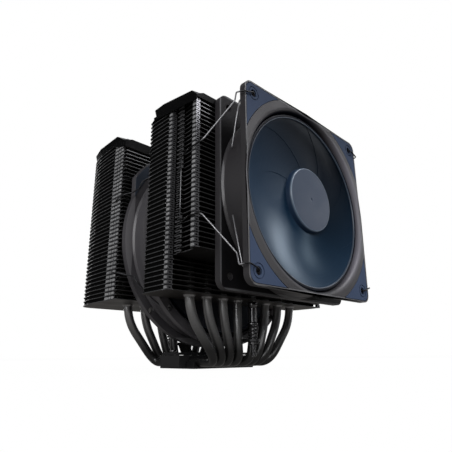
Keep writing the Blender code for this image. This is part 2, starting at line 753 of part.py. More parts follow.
def blade(index, tip_r, centre):
    steps = BLADE_STEPS
    front, back = [], []
    for i in range(steps + 1):
        span = i / steps
        radius = BLADE_ROOT_R + (tip_r - BLADE_ROOT_R) * span
        wrap = math.radians(62.0 - 18.0 * span)    # angle covered by the chord
        middle = 2 * math.pi * index / BLADES + math.radians(BLADE_LEAN) * span * span
        start = BLADE_FRONT + 1.2 * (1 - span)
        depth = BLADE_BACK - start
        slope = math.atan2(depth, wrap * radius)
        shift_y = BLADE_HALF_T * math.cos(slope)
        shift_angle = BLADE_HALF_T * math.sin(slope) / radius
        for rows, sign in ((front, 1), (back, -1)):
            row = []
            for j in range(steps + 1):
                chord = j / steps
                thin = sign * (1.0 if 0 < j < steps else 0.55)    # thinner at the edges
                camber = 0.16 * math.sin(math.pi * chord) * (1 - chord)
                x, z = polar(radius, middle - wrap * (0.5 - chord) + shift_angle * thin)
                y = start + depth * (chord + camber) - shift_y * thin
                row.append((centre[0] + x, centre[1] + y, centre[2] + z))
            rows.append(row)
    shape = Shape()
    for i in range(steps):
        for j in range(steps):
            shape.face([front[i][j], front[i + 1][j], front[i + 1][j + 1]])
            shape.face([front[i][j], front[i + 1][j + 1], front[i][j + 1]])
            shape.face([back[i][j], back[i + 1][j + 1], back[i + 1][j]])
            shape.face([back[i][j], back[i][j + 1], back[i + 1][j + 1]])
        shape.face([front[i][0], back[i][0], back[i + 1][0], front[i + 1][0]])
        shape.face([front[i][-1], front[i + 1][-1], back[i + 1][-1], back[i][-1]])
    for j in range(steps):
        shape.face([front[0][j], front[0][j + 1], back[0][j + 1], back[0][j]])
        shape.face([front[-1][j], back[-1][j], back[-1][j + 1], front[-1][j + 1]])
    return shape


def rotor(fan, mat):
    """Hub, outer rim and blades as one body."""
    centre = (0.0, fan.y, fan.z)
    rim = ring_profile(fan.rim_r - RIM_T, fan.rim_r, 3.0, ROTOR_END)
    shapes = [lathe(HUB_PROFILE, 20, centre, "y"), lathe(rim, 28, centre, "y")]
    shapes += [blade(k, fan.rim_r - RIM_T / 2, centre) for k in range(BLADES)]
    merged(fan.name + "_rotor", shapes, mat, centre, 40.0)


# ---------------------------------------------------------------------- motors
STATOR_BORE_R = 4.95
STATOR_TEETH = 6
# one stator tooth: (radius, angle from the tooth centre in radians)
TOOTH = [(8.2, -0.38), (7.6, -0.30), (14.2, -0.15), (14.2, -0.42), (16.6, -0.40),
         (16.8, 0.0), (16.6, 0.40), (14.2, 0.42), (14.2, 0.15), (7.6, 0.30)]
SHAFT_PROFILE = [(0.0, 3.3), (SHAFT_R, 3.3), (SHAFT_R, 22.9), (1.2, 23.2), (0.0, 23.2)]
BEARING_PROFILE = ring_profile(SHAFT_R + GAP, TUBE_INNER_R - GAP, TUBE_DEPTH + GAP, 23.1)
MAGNET_PROFILE = ring_profile(17.2, 19.9, 5.6, 18.0)


def motor(fan, mats):
    centre = (0.0, fan.y, fan.z)
    for part, profile, sides, mat in (("shaft", SHAFT_PROFILE, 10, "bright_steel"),
                                      ("bearing", BEARING_PROFILE, 12, "bearing_brass"),
                                      ("magnet_ring", MAGNET_PROFILE, 24, "magnet_steel")):
        shape = lathe(profile, sides, centre, "y")
        emit("%s_%s" % (fan.name, part), shape, mats[mat], origin=centre)

    teeth = [polar(radius, 2 * math.pi * k / STATOR_TEETH + angle)
             for k in range(STATOR_TEETH) for radius, angle in TOOTH]
    disc = circle(0.0, 0.0, 17.0, 20)
    bore = circle(0.0, 0.0, STATOR_BORE_R, 12)
    for part, outline, depths, mat in (("stator", teeth, [8.6, 16.0], "stator_copper"),
                                       ("circuit_board", disc, [19.0, 20.4], "circuit_green")):
        shape = layered([[outline, bore]], depths, [{0}], along_y(fan.y, fan.z))
        emit("%s_%s" % (fan.name, part), shape, mats[mat], origin=centre)


# ----------------------------------------------------------------- wire clips
WIRE_R = 0.65

# Upper half of each clip: (distance from x = 0, depth behind the fan's front face,
# height above the fan axis). The lower half mirrors it.
FRONT_CLIP = [
    (58.0, 12.9, 20.7), (58.0, 8.2, 41.5), (57.2, 7.2, 48.8), (54.4, 6.9, 52.1),
    (52.6, 5.6, 52.5), (52.5, -0.4, 52.5), (54.2, -1.35, 51.7), (60.4, -1.25, 49.6),
    (61.5, 0.4, 49.0), (61.7, 5.7, 46.6), (74.3, 19.2, 22.4), (75.2, 21.6, 21.0),
    (75.1, 30.2, 20.6), (72.4, 37.6, 20.9), (71.6, 41.4, 20.6), (71.5, 42.3, 19.0)]
MIDDLE_CLIP = [
    (49.2, 0.5, 49.2), (49.2, 5.2, 49.2), (50.3, 6.4, 48.6), (58.0, 7.0, 44.0),
    (69.2, 9.0, 34.0), (69.6, 12.0, 30.0), (70.4, 18.4, 28.6), (75.1, 23.0, 27.0),
    (75.2, 30.8, 25.6), (74.7, 32.7, 25.2), (73.2, 33.1, 23.6)]


def clip(name, fan, side, half, origin_depth, mat):
    points = [(side * x, fan.y + y, fan.z + z) for x, y, z in half]
    points += [(side * x, fan.y + y, fan.z - z) for x, y, z in reversed(half)]
    origin = (side * fan.hole_at, fan.y + origin_depth, fan.z)
    emit(name, sweep(points, WIRE_R, sides=6), mat, origin=origin, sharp=60.0)


def main():
    clear()
    mats = make_materials()
    steel = mats["bright_steel"]
    sides = (("left", -1), ("right", 1))

    base_plate(mats["base_metal"])
    base_block(mats["block_black"])
    crossbar(mats["crossbar_steel"])
    for label, side in sides:
        bar_screw("crossbar_screw_" + label, side, steel)
    for i in range(PIPE_COUNT):
        heat_pipe(i, mats["pipe_black"])
    front_stack(mats["fin_black"])
    rear_stack(mats["fin_black"])
    cover("front_top_cover", FRONT_COVER_BOTTOM, FRONT_COVER_TOP, -SCREW_Y, mats["cover_black"])
    cover("rear_top_cover", REAR_COVER_BOTTOM, REAR_COVER_TOP, SCREW_Y, mats["cover_black"])

    front_frame(mats["frame_plastic"])
    middle_frame(mats["frame_plastic"])
    for quarter, label in enumerate(("top_right", "top_left", "bottom_left", "bottom_right")):
        pad("front_pad_" + label, quarter, mats["pad_rubber"])
    for fan, half, origin_depth in ((FRONT_FAN, FRONT_CLIP, 2.0),
                                    (MIDDLE_FAN, MIDDLE_CLIP, 2.5)):
        rotor(fan, mats["rotor_plastic"])
        motor(fan, mats)
        for label, side in sides:
            name = "%s_clip_%s" % (fan.name, label)
            clip(name, fan, side, half, origin_depth, mats["wire_steel"])
    for label, end in (("front", -1), ("rear", 1)):
        spring_screw("spring_screw_" + label, end, steel)
        spring("screw_spring_" + label, end, steel)
        washer("screw_washer_" + label, end, steel)


main()
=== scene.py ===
from collections import namedtuple
from functools import cached_property
from math import acos, atan2, copysign, cos, degrees, hypot, pi, radians, sin, sqrt

import bmesh
import bpy
from mathutils import Matrix, Vector
from mathutils.geometry import tessellate_polygon

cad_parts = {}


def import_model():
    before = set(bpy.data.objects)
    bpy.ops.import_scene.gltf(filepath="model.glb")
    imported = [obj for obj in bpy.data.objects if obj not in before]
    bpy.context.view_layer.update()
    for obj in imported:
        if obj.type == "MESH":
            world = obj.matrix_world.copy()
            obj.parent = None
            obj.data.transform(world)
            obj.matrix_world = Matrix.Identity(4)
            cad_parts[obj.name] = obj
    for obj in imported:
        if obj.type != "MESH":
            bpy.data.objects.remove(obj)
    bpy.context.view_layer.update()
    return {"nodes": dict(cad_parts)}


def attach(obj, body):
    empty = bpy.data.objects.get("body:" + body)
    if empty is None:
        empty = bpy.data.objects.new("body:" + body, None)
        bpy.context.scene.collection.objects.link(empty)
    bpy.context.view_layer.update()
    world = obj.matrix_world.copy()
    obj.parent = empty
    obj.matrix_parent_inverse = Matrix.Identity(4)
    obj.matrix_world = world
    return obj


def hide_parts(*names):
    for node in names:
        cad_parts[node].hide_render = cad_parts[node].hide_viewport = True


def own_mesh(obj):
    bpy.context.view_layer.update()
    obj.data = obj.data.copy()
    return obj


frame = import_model()
MM = 0.001

# Layout shared with the CAD, in millimetres. A fan's y is its front face, its z the axis.
Fan = namedtuple("Fan", "name y z half bore_radius duct_radius ring_radius hole_offset")
DUCT_WALL = 1.5
FRONT = Fan("front", y=-98.0, z=101.7, half=60.0, bore_radius=57.9,
            duct_radius=57.9 + DUCT_WALL, ring_radius=57.2, hole_offset=52.5)
MIDDLE = Fan("middle", y=-19.5, z=86.7, half=67.5, bore_radius=65.4,
             duct_radius=65.4 + DUCT_WALL, ring_radius=64.6, hole_offset=49.2)
FAN_HOLE_R, PAD_ARC_R = 2.15, 65.5
EAR_R, MIDDLE_ROUND_R = 79.5, 72.5    # middle frame: ears above, round edge below
HUB_R = 21.7
FIN_BOTTOM, FIN_TOP, FIN_CUT_Z = 43.4, 158.4, 62.9
FIN_THICK, FIN_COUNT = 0.5, 41
FIN_PITCH = (FIN_TOP - FIN_BOTTOM - FIN_THICK) / (FIN_COUNT - 1)
FIN_Z = [FIN_BOTTOM + i * FIN_PITCH for i in range(FIN_COUNT)]
STRIP_X = 74.2                        # outer face of the tab columns
PIPE_R, PIPE_Z, PIPE_PITCH = 3.0, 4.2, 6.6
PIPE_X = [PIPE_PITCH * (i - 3.5) for i in range(8)]
GROOVE_R = PIPE_R + 0.25
PIPE_LEG_X = (7.5, 21.0, 35.0, 49.0)
PIPE_FRONT_Y, PIPE_REAR_Y, PIPE_TIP_Z = -38.0, 31.5, 160.5
PIPE_BEND_X, PIPE_BEND_Z = (5.2, 11.8, 18.4, 25.0), (20.0, 34.0, 34.0, 33.0)
BASE_X, BASE_Y, BLOCK_X, BLOCK_Y = 28.0, 18.5, 34.0, 10.3
BLOCK_BOTTOM, BLOCK_TOP = 0.8, 8.5
BAR_Z, BAR_THICK, BAR_RISE, BAR_SCREW_X = 8.8, 1.6, 7.9, 31.2
SCREW_Y, TIP_Z, HEAD_Z = 45.0, 7.0, 42.6
GAP = 0.3
SIDES = (("left", -1), ("right", 1))
EVEN = (1, 1, 1)


# ---------------------------------------------------------------- mesh tools
class Shape:
    """Points and faces in millimetres; near equal points are shared within one shell."""

    def __init__(self):
        self.verts = []
        self.faces = []
        self.index = {}

    def add(self, point):
        key = tuple(round(value, 5) for value in point)
        if key not in self.index:
            self.index[key] = len(self.verts)
            self.verts.append(key)
        return self.index[key]

    def face(self, points):
        ids = []
        for point in points:
            i = self.add(point)
            if not ids or ids[-1] != i:
                ids.append(i)
        if len(ids) > 1 and ids[0] == ids[-1]:
            ids.pop()
        if len(set(ids)) >= 3:
            self.faces.append(ids)

    def join(self, other):
        """Take in another body, kept as its own shell."""
        first = len(self.verts)
        self.verts += other.verts
        self.faces += [[i + first for i in face] for face in other.faces]
        self.index = {}


def make(name, shape, material, body="cooler", replaces=None, sharp=35.0, bevel=0.0,
         bevel_over=40.0, flat=False, merge=False):
    """Put a shape in the scene; sharp and bevel_over are edge angles in degrees."""
    mesh = bpy.data.meshes.new(name)
    mesh.from_pydata([(x * MM, y * MM, z * MM) for x, y, z in shape.verts], [], shape.faces)
    work = bmesh.new()
    work.from_mesh(mesh)
    if merge:
        bmesh.ops.dissolve_limit(work, angle_limit=radians(0.3), verts=work.verts,
                                 edges=work.edges)
    bmesh.ops.recalc_face_normals(work, faces=work.faces)
    work.to_mesh(mesh)
    work.free()
    mesh.materials.append(MATERIAL[material])
    for polygon in mesh.polygons:
        polygon.use_smooth = not flat
    if not flat:
        mesh.set_sharp_from_angle(angle=radians(sharp))
    thing = bpy.data.objects.new(name, mesh)
    bpy.context.scene.collection.objects.link(thing)
    if bevel > 0.0:
        edge = thing.modifiers.new("edge", "BEVEL")
        edge.width = bevel * MM
        edge.segments = 2
        edge.limit_method = "ANGLE"
        edge.angle_limit = radians(bevel_over)
        edge.use_clamp_overlap = True
        edge.harden_normals = True
    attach(thing, body)
    if replaces:
        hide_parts(replaces)
    return thing


def polar(radius, angle, x=0.0, y=0.0):
    return x + radius * cos(angle), y + radius * sin(angle)


def circle(x, y, radius, count):
    return [polar(radius, 2 * pi * i / count, x, y) for i in range(count)]


def arc(x, y, radius, start, end, count):
    """Points from start to end, in degrees."""
    return [polar(radius, radians(start + (end - start) * i / count), x, y)
            for i in range(count + 1)]


def rectangle(left, right, low, high):
    return [(left, low), (right, low), (right, high), (left, high)]


def mirror_loop(half):
    return [(-abs(x), y) for x, y in half] + [(abs(x), y) for x, y in reversed(half)]


def turn(loop, quarter):
    """Turn a flat loop by quarter turns about the origin."""
    across, over = (1, 0, -1, 0)[quarter], (0, 1, 0, -1)[quarter]
    return [(x * across - y * over, x * over + y * across) for x, y in loop]


def eased_corner(before, corner, after, radius, steps):
    """Quadratic curve in place of one corner."""
    before, corner, after = Vector(before), Vector(corner), Vector(after)
    back, ahead = before - corner, after - corner
    start = corner + back.normalized() * min(radius, back.length * 0.48)
    end = corner + ahead.normalized() * min(radius, ahead.length * 0.48)
    points = []
    for i in range(steps + 1):
        part = i / steps
        points.append(tuple(start * (1 - part) ** 2 + corner * 2 * part * (1 - part)
                            + end * part * part))
    return points


def rounded(loop, radius):
    points = []
    for i, corner in enumerate(loop):
        points += eased_corner(loop[i - 1], corner, loop[(i + 1) % len(loop)], radius, 2)
    return points


def bend(points, radius, steps):
    """Open line with every inner corner eased."""
    line = [points[0]]
    for before, corner, after in zip(points, points[1:], points[2:]):
        line += eased_corner(before, corner, after, radius, steps)
    return line + [points[-1]]


# Ways to place a flat point and its depth in space.
def upright(across, over, depth):
    return across, over, depth


def along_y(start_y=0.0, centre_z=0.0):
    return lambda across, over, depth: (across, start_y + depth, centre_z + over)


def along_x(side):
    return lambda across, over, depth: (side * depth, across, over)


def flat_triangles(loops):
    """Triangles that fill an outline and spare its holes."""
    points = [point for loop in loops for point in loop]
    filled = tessellate_polygon([[Vector((x, y, 0.0)) for x, y in loop] for loop in loops])
    return [[points[i] for i in triangle] for triangle in filled]


def layered(cells, levels, filled, place):
    """Solid made of flat cells (an outline, then its holes) stacked in layers.

    filled[i] holds the numbers of the cells that are solid from levels[i] to levels[i + 1].
    """
    shape = Shape()
    cells = [[[(round(x, 4), round(y, 4)) for x, y in loop] for loop in loops]
             for loops in cells]
    edges = {}
    for cell, loops in enumerate(cells):
        for loop in loops:
            for ends in zip(loop, loop[1:] + loop[:1]):
                edges.setdefault(tuple(sorted(ends)), []).append(cell)
    triangles = [flat_triangles(loops) for loops in cells]
    stack = [set(), *filled, set()]
    for level, below, above in zip(levels, stack, stack[1:]):
        for cell, pieces in enumerate(triangles):
            if (cell in below) != (cell in above):
                for triangle in pieces:
                    shape.face([place(x, y, level) for x, y in triangle])
    for (start, end), owners in edges.items():
        for low, high, layer in zip(levels, levels[1:], filled):
            # an edge gets a wall where only one of its cells is solid
            if len([cell for cell in owners if cell in layer]) == 1:
                shape.face([place(*end, low), place(*end, high),
                            place(*start, high), place(*start, low)])
    return shape


def extrude(loops, low, high, place=upright):
    return layered([loops], [low, high], [{0}], place)


def box(left, right, front, rear, bottom, top):
    shape = Shape()
    corners = [(x, y, z) for x in sorted((left, right)) for y in (front, rear)
               for z in (bottom, top)]
    for face in ((0, 1, 3, 2), (4, 6, 7, 5), (0, 4, 5, 1), (2, 3, 7, 6), (0, 2, 6, 4),
                 (1, 5, 7, 3)):
        shape.face([corners[i] for i in face])
    return shape


def lathe(profile, count, centre, axis):
    """Turn a closed (radius, height) profile about the y or z axis through centre."""
    shape = Shape()

    def point(radius, height, i):
        across, over = polar(radius, 2 * pi * (i % count) / count)
        offset = (across, height, over) if axis == "y" else (across, over, height)
        return [middle + shift for middle, shift in zip(centre, offset)]

    for start, end in zip(profile, profile[1:] + profile[:1]):
        if start[0] == 0.0 and end[0] == 0.0:
            continue
        for i in range(count):
            shape.face([point(*start, i), point(*end, i), point(*end, i + 1),
                        point(*start, i + 1)])
    return shape


def skin(rows):
    """Closed tube over rows of points, capped at both ends."""
    shape = Shape()
    count = len(rows[0])
    for row, following in zip(rows, rows[1:]):
        for j in range(count):
            k = (j + 1) % count
            shape.face([row[j], row[k], following[k], following[j]])
    shape.face(rows[0][::-1])
    shape.face(rows[-1])
    return shape


def sweep(points, radius, sides):
    """Round rod along a line, with domed ends."""
    path = [Vector(point) for point in points]
    steps = [(after - before).normalized() for before, after in zip(path, path[1:])]
    tangents = [steps[0]]
    tangents += [(before + after).normalized() for before, after in zip(steps, steps[1:])]
    tangents.append(steps[-1])
    first = tangents[0]
    guide = Vector((1, 0, 0)) if abs(first.x) < 0.9 else Vector((0, 1, 0))
    across = (guide - first * guide.dot(first)).normalized()
    stations = []
    for centre, tangent in zip(path, tangents):
        across = (across - tangent * across.dot(tangent)).normalized()
        stations.append((centre, tangent, across, radius))

    def dome(station, sign):
        centre, tangent, across, _ = station
        return [(centre + tangent * (sign * radius * 0.8 * sin(angle)), tangent, across,
                 radius * cos(angle)) for angle in (0.55, 1.0, 1.35)]

    stations = dome(stations[0], -1)[::-1] + stations + dome(stations[-1], 1)
    rows = []
    for centre, tangent, across, reach in stations:
        over = tangent.cross(across)
        rows.append([tuple(centre + (across * cos(2 * pi * j / sides)
                                     + over * sin(2 * pi * j / sides)) * reach)
                     for j in range(sides)])
    return skin(rows)


# -------------------------------------------------------------- shader tools
class Value:
    """An output inside a shader; arithmetic on it adds nodes."""

    def __init__(self, shader, socket):
        self.shader = shader
        self.socket = socket

    def maths(self, operation, other=0.0):
        node = self.shader.node("Math", operation=operation)
        for socket, value in zip(node.inputs, (self, other, 0.0)):
            self.shader.put(socket, value)
        return Value(self.shader, node.outputs[0])

    def __add__(self, other):
        return self.maths("ADD", other)

    def __sub__(self, other):
        return self.maths("SUBTRACT", other)

    def __mul__(self, other):
        return self.maths("MULTIPLY", other)

    def __truediv__(self, other):
        return self.maths("DIVIDE", other)

    def ramp(self, low, high, start=0.0, end=1.0):
        """Run from start to end while this value goes from low to high."""
        node = self.shader.node("MapRange")
        for name, value in (("From Min", low), ("From Max", high), ("To Min", start),
                            ("To Max", end), ("Value", self)):
            self.shader.put(node.inputs[name], value)
        return Value(self.shader, node.outputs["Result"])

    def ramp_mm(self, low, high, start=0.0, end=1.0):
        """Ramp over a length given in millimetres."""
        return self.ramp(low * MM, high * MM, start, end)

    def mix(self, first, second):
        """Colour: first where this value is 0, second where it is 1."""
        node = self.shader.node("Mix", data_type="RGBA")
        for i, value in ((0, self), (6, first), (7, second)):
            self.shader.put(node.inputs[i], value)
        return Value(self.shader, node.outputs[2])

    def tones(self, dark, light):
        """Colour of a noise that drifts between two tones."""
        return self.ramp(0.35, 0.65).mix(dark, light)

    def through(self, kind, **settings):
        node = self.shader.node(kind, **settings)
        self.shader.put(node.inputs[0], self)
        return Value(self.shader, node.outputs[0])

    def xyz(self):
        node = self.shader.node("SeparateXYZ")
        self.shader.put(node.inputs[0], self)
        return [Value(self.shader, socket) for socket in node.outputs]


class Shader:
    """Node tree of a new material or world."""

    def __init__(self, name, world=False):
        self.owner = (bpy.data.worlds if world else bpy.data.materials).new(name)
        self.owner.use_nodes = True
        self.tree = self.owner.node_tree
        self.tree.nodes.clear()
        self.output = self.node("OutputWorld" if world else "OutputMaterial")

    def node(self, kind, **settings):
        node = self.tree.nodes.new("ShaderNode" + kind)
        for key, value in settings.items():
            setattr(node, key, value)
        return node

    def put(self, socket, value):
        """Link a Value, or set a number or an (r, g, b) colour."""
        if isinstance(value, Value):
            self.tree.links.new(value.socket, socket)
        else:
            socket.default_value = (*value, 1.0) if isinstance(value, tuple) else value

    @cached_property
    def coords(self):
        return Value(self, self.node("TexCoord").outputs["Object"])

    @cached_property
    def geometry_node(self):
        return self.node("NewGeometry")

    def geometry(self, output):
        return Value(self, self.geometry_node.outputs[output])

    def noise(self, scale, stretch=EVEN, detail=3.0, rough=0.55):
        mapping = self.node("Mapping")
        mapping.inputs["Scale"].default_value = stretch
        self.put(mapping.inputs["Vector"], self.coords)
        node = self.node("TexNoise")
        for name, value in (("Scale", scale), ("Detail", detail), ("Roughness", rough),
                            ("Vector", Value(self, mapping.outputs["Vector"]))):
            self.put(node.inputs[name], value)
        return Value(self, node.outputs["Fac"])

    def fine(self, scale, stretch=EVEN):
        return self.noise(scale, stretch, detail=4.0, rough=0.6)

    def cloudy(self, scale):
        return self.noise(scale, detail=3.0, rough=0.5)

    def bump(self, height, depth, strength=1.0, normal=None):
        """Bumped normal; depth in metres."""
        node = self.node("Bump")
        self.put(node.inputs["Distance"], depth)
        self.put(node.inputs["Strength"], strength)
        self.put(node.inputs["Height"], height)
        if normal is not None:
            self.put(node.inputs["Normal"], normal)
        return Value(self, node.outputs["Normal"])

    def light_up(self, kind, colour, strength=None):
        """Emission, Background or diffuse closure of one colour."""
        node = self.node(kind)
        self.put(node.inputs["Color"], colour)
        if strength is not None:
            self.put(node.inputs["Strength"], strength)
        return Value(self, node.outputs[0])

    def mix_shaders(self, share, first, second):
        node = self.node("MixShader")
        for socket, value in zip(node.inputs, (share, first, second)):
            self.put(socket, value)
        return Value(self, node.outputs[0])

    def camera_ray(self):
        return Value(self, self.node("LightPath").outputs["Is Camera Ray"])

    def finish(self, inputs):
        """Feed a principled node by input name and return the material."""
        principled = self.node("BsdfPrincipled")
        for name, value in inputs.items():
            self.put(principled.inputs[name], value)
        self.put(self.output.inputs["Surface"], Value(self, principled.outputs["BSDF"]))
        return self.owner


def scaled(colour, factor):
    return tuple(value * factor for value in colour)


def from_axis(x, z, fan):
    """Height over a fan's axis, and distance from it."""
    rise = z - fan.z * MM
    return rise, (x * x + rise * rise).maths("SQRT")


def grained(shader, dark, light, rough, spread, grain, speck, bump, stretch=EVEN):
    """Colour of a two-tone grain, and the roughness and normal that go with it.

    grain and speck are noise scales, spread is how far the roughness strays.
    """
    fine, cloudy = shader.fine(grain, stretch), shader.cloudy(55.0)
    specks = shader.noise(speck, stretch, detail=2.0, rough=0.7)
    colour = (fine * 0.65 + cloudy * 0.35).ramp(0.34, 0.66).mix(dark, light)
    return colour, {
        "Roughness": (cloudy * 0.6 + specks * 0.4).ramp(0.3, 0.7, rough - spread,
                                                        rough + spread),
        "Normal": shader.bump(fine * 0.7 + specks * 0.3, bump)}


# ----------------------------------------------------------------- materials
def surface(name, dark, light, metal, rough, grain=2600.0, bump=0.00002, stretch=EVEN,
            streak=0.0, specular=0.5, wear=None, height_shade=None):
    """Grained finish with optional bright streaks, worn edges and painted shade that changes
    with height.

    height_shade: height of full colour, height where the painted shade is deepest, share of
    colour left there.
    """
    shader = Shader(name)
    colour, inputs = grained(shader, dark, light, rough, spread=0.08, grain=grain,
                             speck=grain * 3.1, bump=bump, stretch=stretch)
    if streak:
        streaks = shader.noise(900.0, stretch, detail=6.0, rough=0.7)
        colour = streaks.ramp(0.55, 0.75, end=streak).mix(
            colour, tuple(value * 1.9 + 0.01 for value in light))
    if wear:
        colour = shader.geometry("Pointiness").ramp(0.53, 0.6).mix(colour, wear)
    # painted shade: colour scaled down between two heights
    if height_shade:
        full, deepest, least = height_shade
        height = shader.geometry("Position").xyz()[2]
        node = shader.node("VectorMath", operation="SCALE")
        shader.put(node.inputs[0], colour)
        shader.put(node.inputs["Scale"], height.ramp_mm(full, deepest, 1.0, least))
        colour = Value(shader, node.outputs["Vector"])
    return shader.finish({"Base Color": colour, "Metallic": metal,
                          "Specular IOR Level": specular, "Coat Roughness": 0.3, **inputs})


def frame_surface(name, fan, dark, light, edge, rough, dim, glow=0.0):
    """Moulded plastic with a painted highlight along the outer edges and painted shade in the
    bore and on the inner face of the rear flange.

    dim is the depth of the painted flange shadow, glow the strength of a painted highlight
    band round the bore.
    """
    shader = Shader(name)
    colour, inputs = grained(shader, dark, light, rough, spread=0.07, grain=5200.0,
                             speck=16000.0, bump=0.00004)
    x, y, z = shader.geometry("Position").xyz()
    facing = shader.geometry("Normal").xyz()[1]
    rise, radius = from_axis(x, z, fan)
    bore = fan.bore_radius
    # painted shade: the bore wall darkens near the front on the -x side
    bore_shade = (radius.ramp_mm(bore + 0.3, bore + 1.5, 1.0, 0.0)
              * y.ramp_mm(fan.y + 12.0, fan.y + 16.0, 1.0, 0.0)
              * x.ramp_mm(0.0, 20.0, 1.0, 0.0))
    # painted shade on the inner face of the rear flange
    flange_shade = (y.ramp_mm(fan.y + 18.5, fan.y + 20.5, end=dim)
            * facing.ramp(-0.95, -0.5, 1.0, 0.0))
    colour = bore_shade.mix(colour, (0.0015, 0.0025, 0.007))
    if glow:
        # painted highlight: a pale band round the bore on the +x side
        highlight_band = (x.ramp_mm(20.0, 50.0, end=glow)
                * radius.ramp_mm(bore + 1.6, bore + 4.6, 1.0, 0.0))
        colour = highlight_band.mix(colour, (0.140, 0.134, 0.158))
    colour = flange_shade.mix(colour, (0.004, 0.004, 0.0045))
    # painted highlight: a pale line along the outer edges, on the side faces
    outermost = x.maths("ABSOLUTE").maths("MAXIMUM", rise.maths("ABSOLUTE"))
    rim = (outermost.ramp_mm(fan.half - 1.3, fan.half - 0.9, end=0.8)
           * facing.ramp(-0.5, -0.2, 1.0, 0.0))
    # painted shade: weaker reflections towards the top and the -x side, and where the painted
    # shade lies
    reflection_shade = (z - x * 0.4).ramp_mm(125.0, 165.0, 1.0, 0.35)
    shadow = bore_shade.maths("MAXIMUM", flange_shade)
    return shader.finish({"Base Color": rim.mix(colour, edge),
                          "Specular IOR Level": reflection_shade * shadow.ramp(0.0, 1.0, 0.5, 0.08),
                          **inputs})


def ring_surface(name, fan):
    """Rotor ring: glossy inner line, with painted shade outside where it dips into the bore.
    """
    shader = Shader(name)
    x, _, z = shader.geometry("Position").xyz()
    radius = from_axis(x, z, fan)[1]
    fine = shader.fine(4200.0)
    # painted shade: near black, with weak reflections, outside the inner line
    dip_shade = radius.ramp_mm(fan.ring_radius - 1.85, fan.ring_radius - 1.65)
    colour = fine.tones((0.030, 0.045, 0.068), (0.042, 0.060, 0.090))
    return shader.finish({
        "Base Color": dip_shade.mix(colour, (0.001, 0.002, 0.006)),
        "Roughness": shader.cloudy(60.0).ramp(0.3, 0.7, 0.28, 0.42),
        "Specular IOR Level": dip_shade.ramp(0.0, 1.0, 0.7, 0.08),
        "Normal": shader.bump(fine, 0.00001)})


def cover_surface(name):
    """Painted sheet: long brushing on the top faces; painted shade makes the folded sides near
    black and almost unreflective.
    """
    shader = Shader(name)
    top = shader.geometry("Normal").xyz()[2].ramp(0.5, 0.9)
    along = (0.06, 2.0, 1.0)
    brush = shader.noise(900.0, along, detail=6.0, rough=0.7)
    fine = shader.fine(1600.0, along)
    # painted shade: the folded sides near black
    shaded_side_colour = fine.tones((0.0012, 0.0012, 0.0013), (0.004, 0.004, 0.0043))
    top_colour = brush.ramp(0.4, 0.65).mix((0.010, 0.010, 0.0105), (0.026, 0.026, 0.027))
    return shader.finish({
        "Base Color": top.mix(shaded_side_colour, top_colour),
        "Roughness": shader.cloudy(45.0).ramp(0.3, 0.7, 0.36, 0.52),
        "Specular IOR Level": top.ramp(0.0, 1.0, 0.03, 0.45),
        "Normal": shader.bump(fine, 0.00002)})


def hub_surface(name, fan):
    """Moulded hub cap with a painted highlight along a line near its rim."""
    shader = Shader(name)
    x, y, z = shader.geometry("Position").xyz()
    radius = from_axis(x, z, fan)[1]
    fine = shader.fine(4200.0)
    # painted highlight: a pale, more reflective line at the front rim
    line = (radius.ramp_mm(19.8, 20.1) * radius.ramp_mm(20.6, 20.9, 1.0, 0.0)
            * y.ramp_mm(fan.y + 1.7, fan.y + 2.2, 1.0, 0.0))
    colour = fine.tones((0.009, 0.024, 0.054), (0.014, 0.031, 0.066))
    return shader.finish({
        "Base Color": line.mix(colour, (0.085, 0.125, 0.180)),
        "Roughness": shader.cloudy(60.0).ramp(0.3, 0.7, 0.34, 0.48),
        "Specular IOR Level": line.ramp(0.0, 1.0, 0.4, 0.9),
        "Normal": shader.bump(fine, 0.00002)})


def fin_surface(name):
    """Dark plates; the cut edges of the sheet are lighter, partly as a painted highlight, and
    dimmed by painted shade where they face -y. Undersides take painted warm light from below,
    with painted shade above the lowest fins.
    """
    # under is painted warm light from below on the downward faces; edge is lighter partly as a
    # painted highlight
    plate, under, edge = (0.010, 0.010, 0.011), (0.042, 0.038, 0.035), (0.16, 0.16, 0.165)
    edge_rough = 0.36
    shader = Shader(name)
    _, facing, upward = shader.geometry("True Normal").xyz()
    side = upward.maths("ABSOLUTE").maths("LESS_THAN", 0.5)
    down = upward.maths("LESS_THAN", -0.5)
    flat = down.mix(shader.fine(1500.0).tones(plate, scaled(plate, 1.5)), under)
    patches = shader.noise(420.0, (1, 1, 0.2), detail=3.0, rough=0.6)
    edges = patches.ramp(0.35, 0.7).mix(edge, scaled(edge, 0.55))
    # painted shade: edges dimmed where they face -y
    edges = facing.ramp(-0.8, -0.5, 0.6, 0.0).mix(edges, scaled(edge, 0.12))
    # painted shade: undersides darken above the lowest fins
    height = shader.geometry("Position").xyz()[2]
    shaded = height.ramp_mm(55.0, 58.0, end=0.75) * down
    flat = shaded.mix(flat, (0.004, 0.004, 0.0045))
    rough = shader.node("Mix", data_type="FLOAT")
    plate_rough = shader.cloudy(45.0).ramp(0.3, 0.7, 0.39, 0.53)
    for i, value in ((0, side), (2, plate_rough), (3, edge_rough)):
        shader.put(rough.inputs[i], value)
    rolling = shader.noise(700.0, (0.15, 2.2, 1), detail=5.0, rough=0.6)
    return shader.finish({
        "Base Color": side.mix(flat, edges),
        "Metallic": side.ramp(0.0, 1.0, 0.35, 0.75),
        "Roughness": Value(shader, rough.outputs[0]),
        "Normal": shader.bump(rolling, 0.00002, strength=0.8)})


# Shading slopes of the blades at the hub and at the ring: outward and round the axis.
DISH_SLOPES, PITCH_SLOPES = (0.049, -0.266), (-0.883, -0.228)


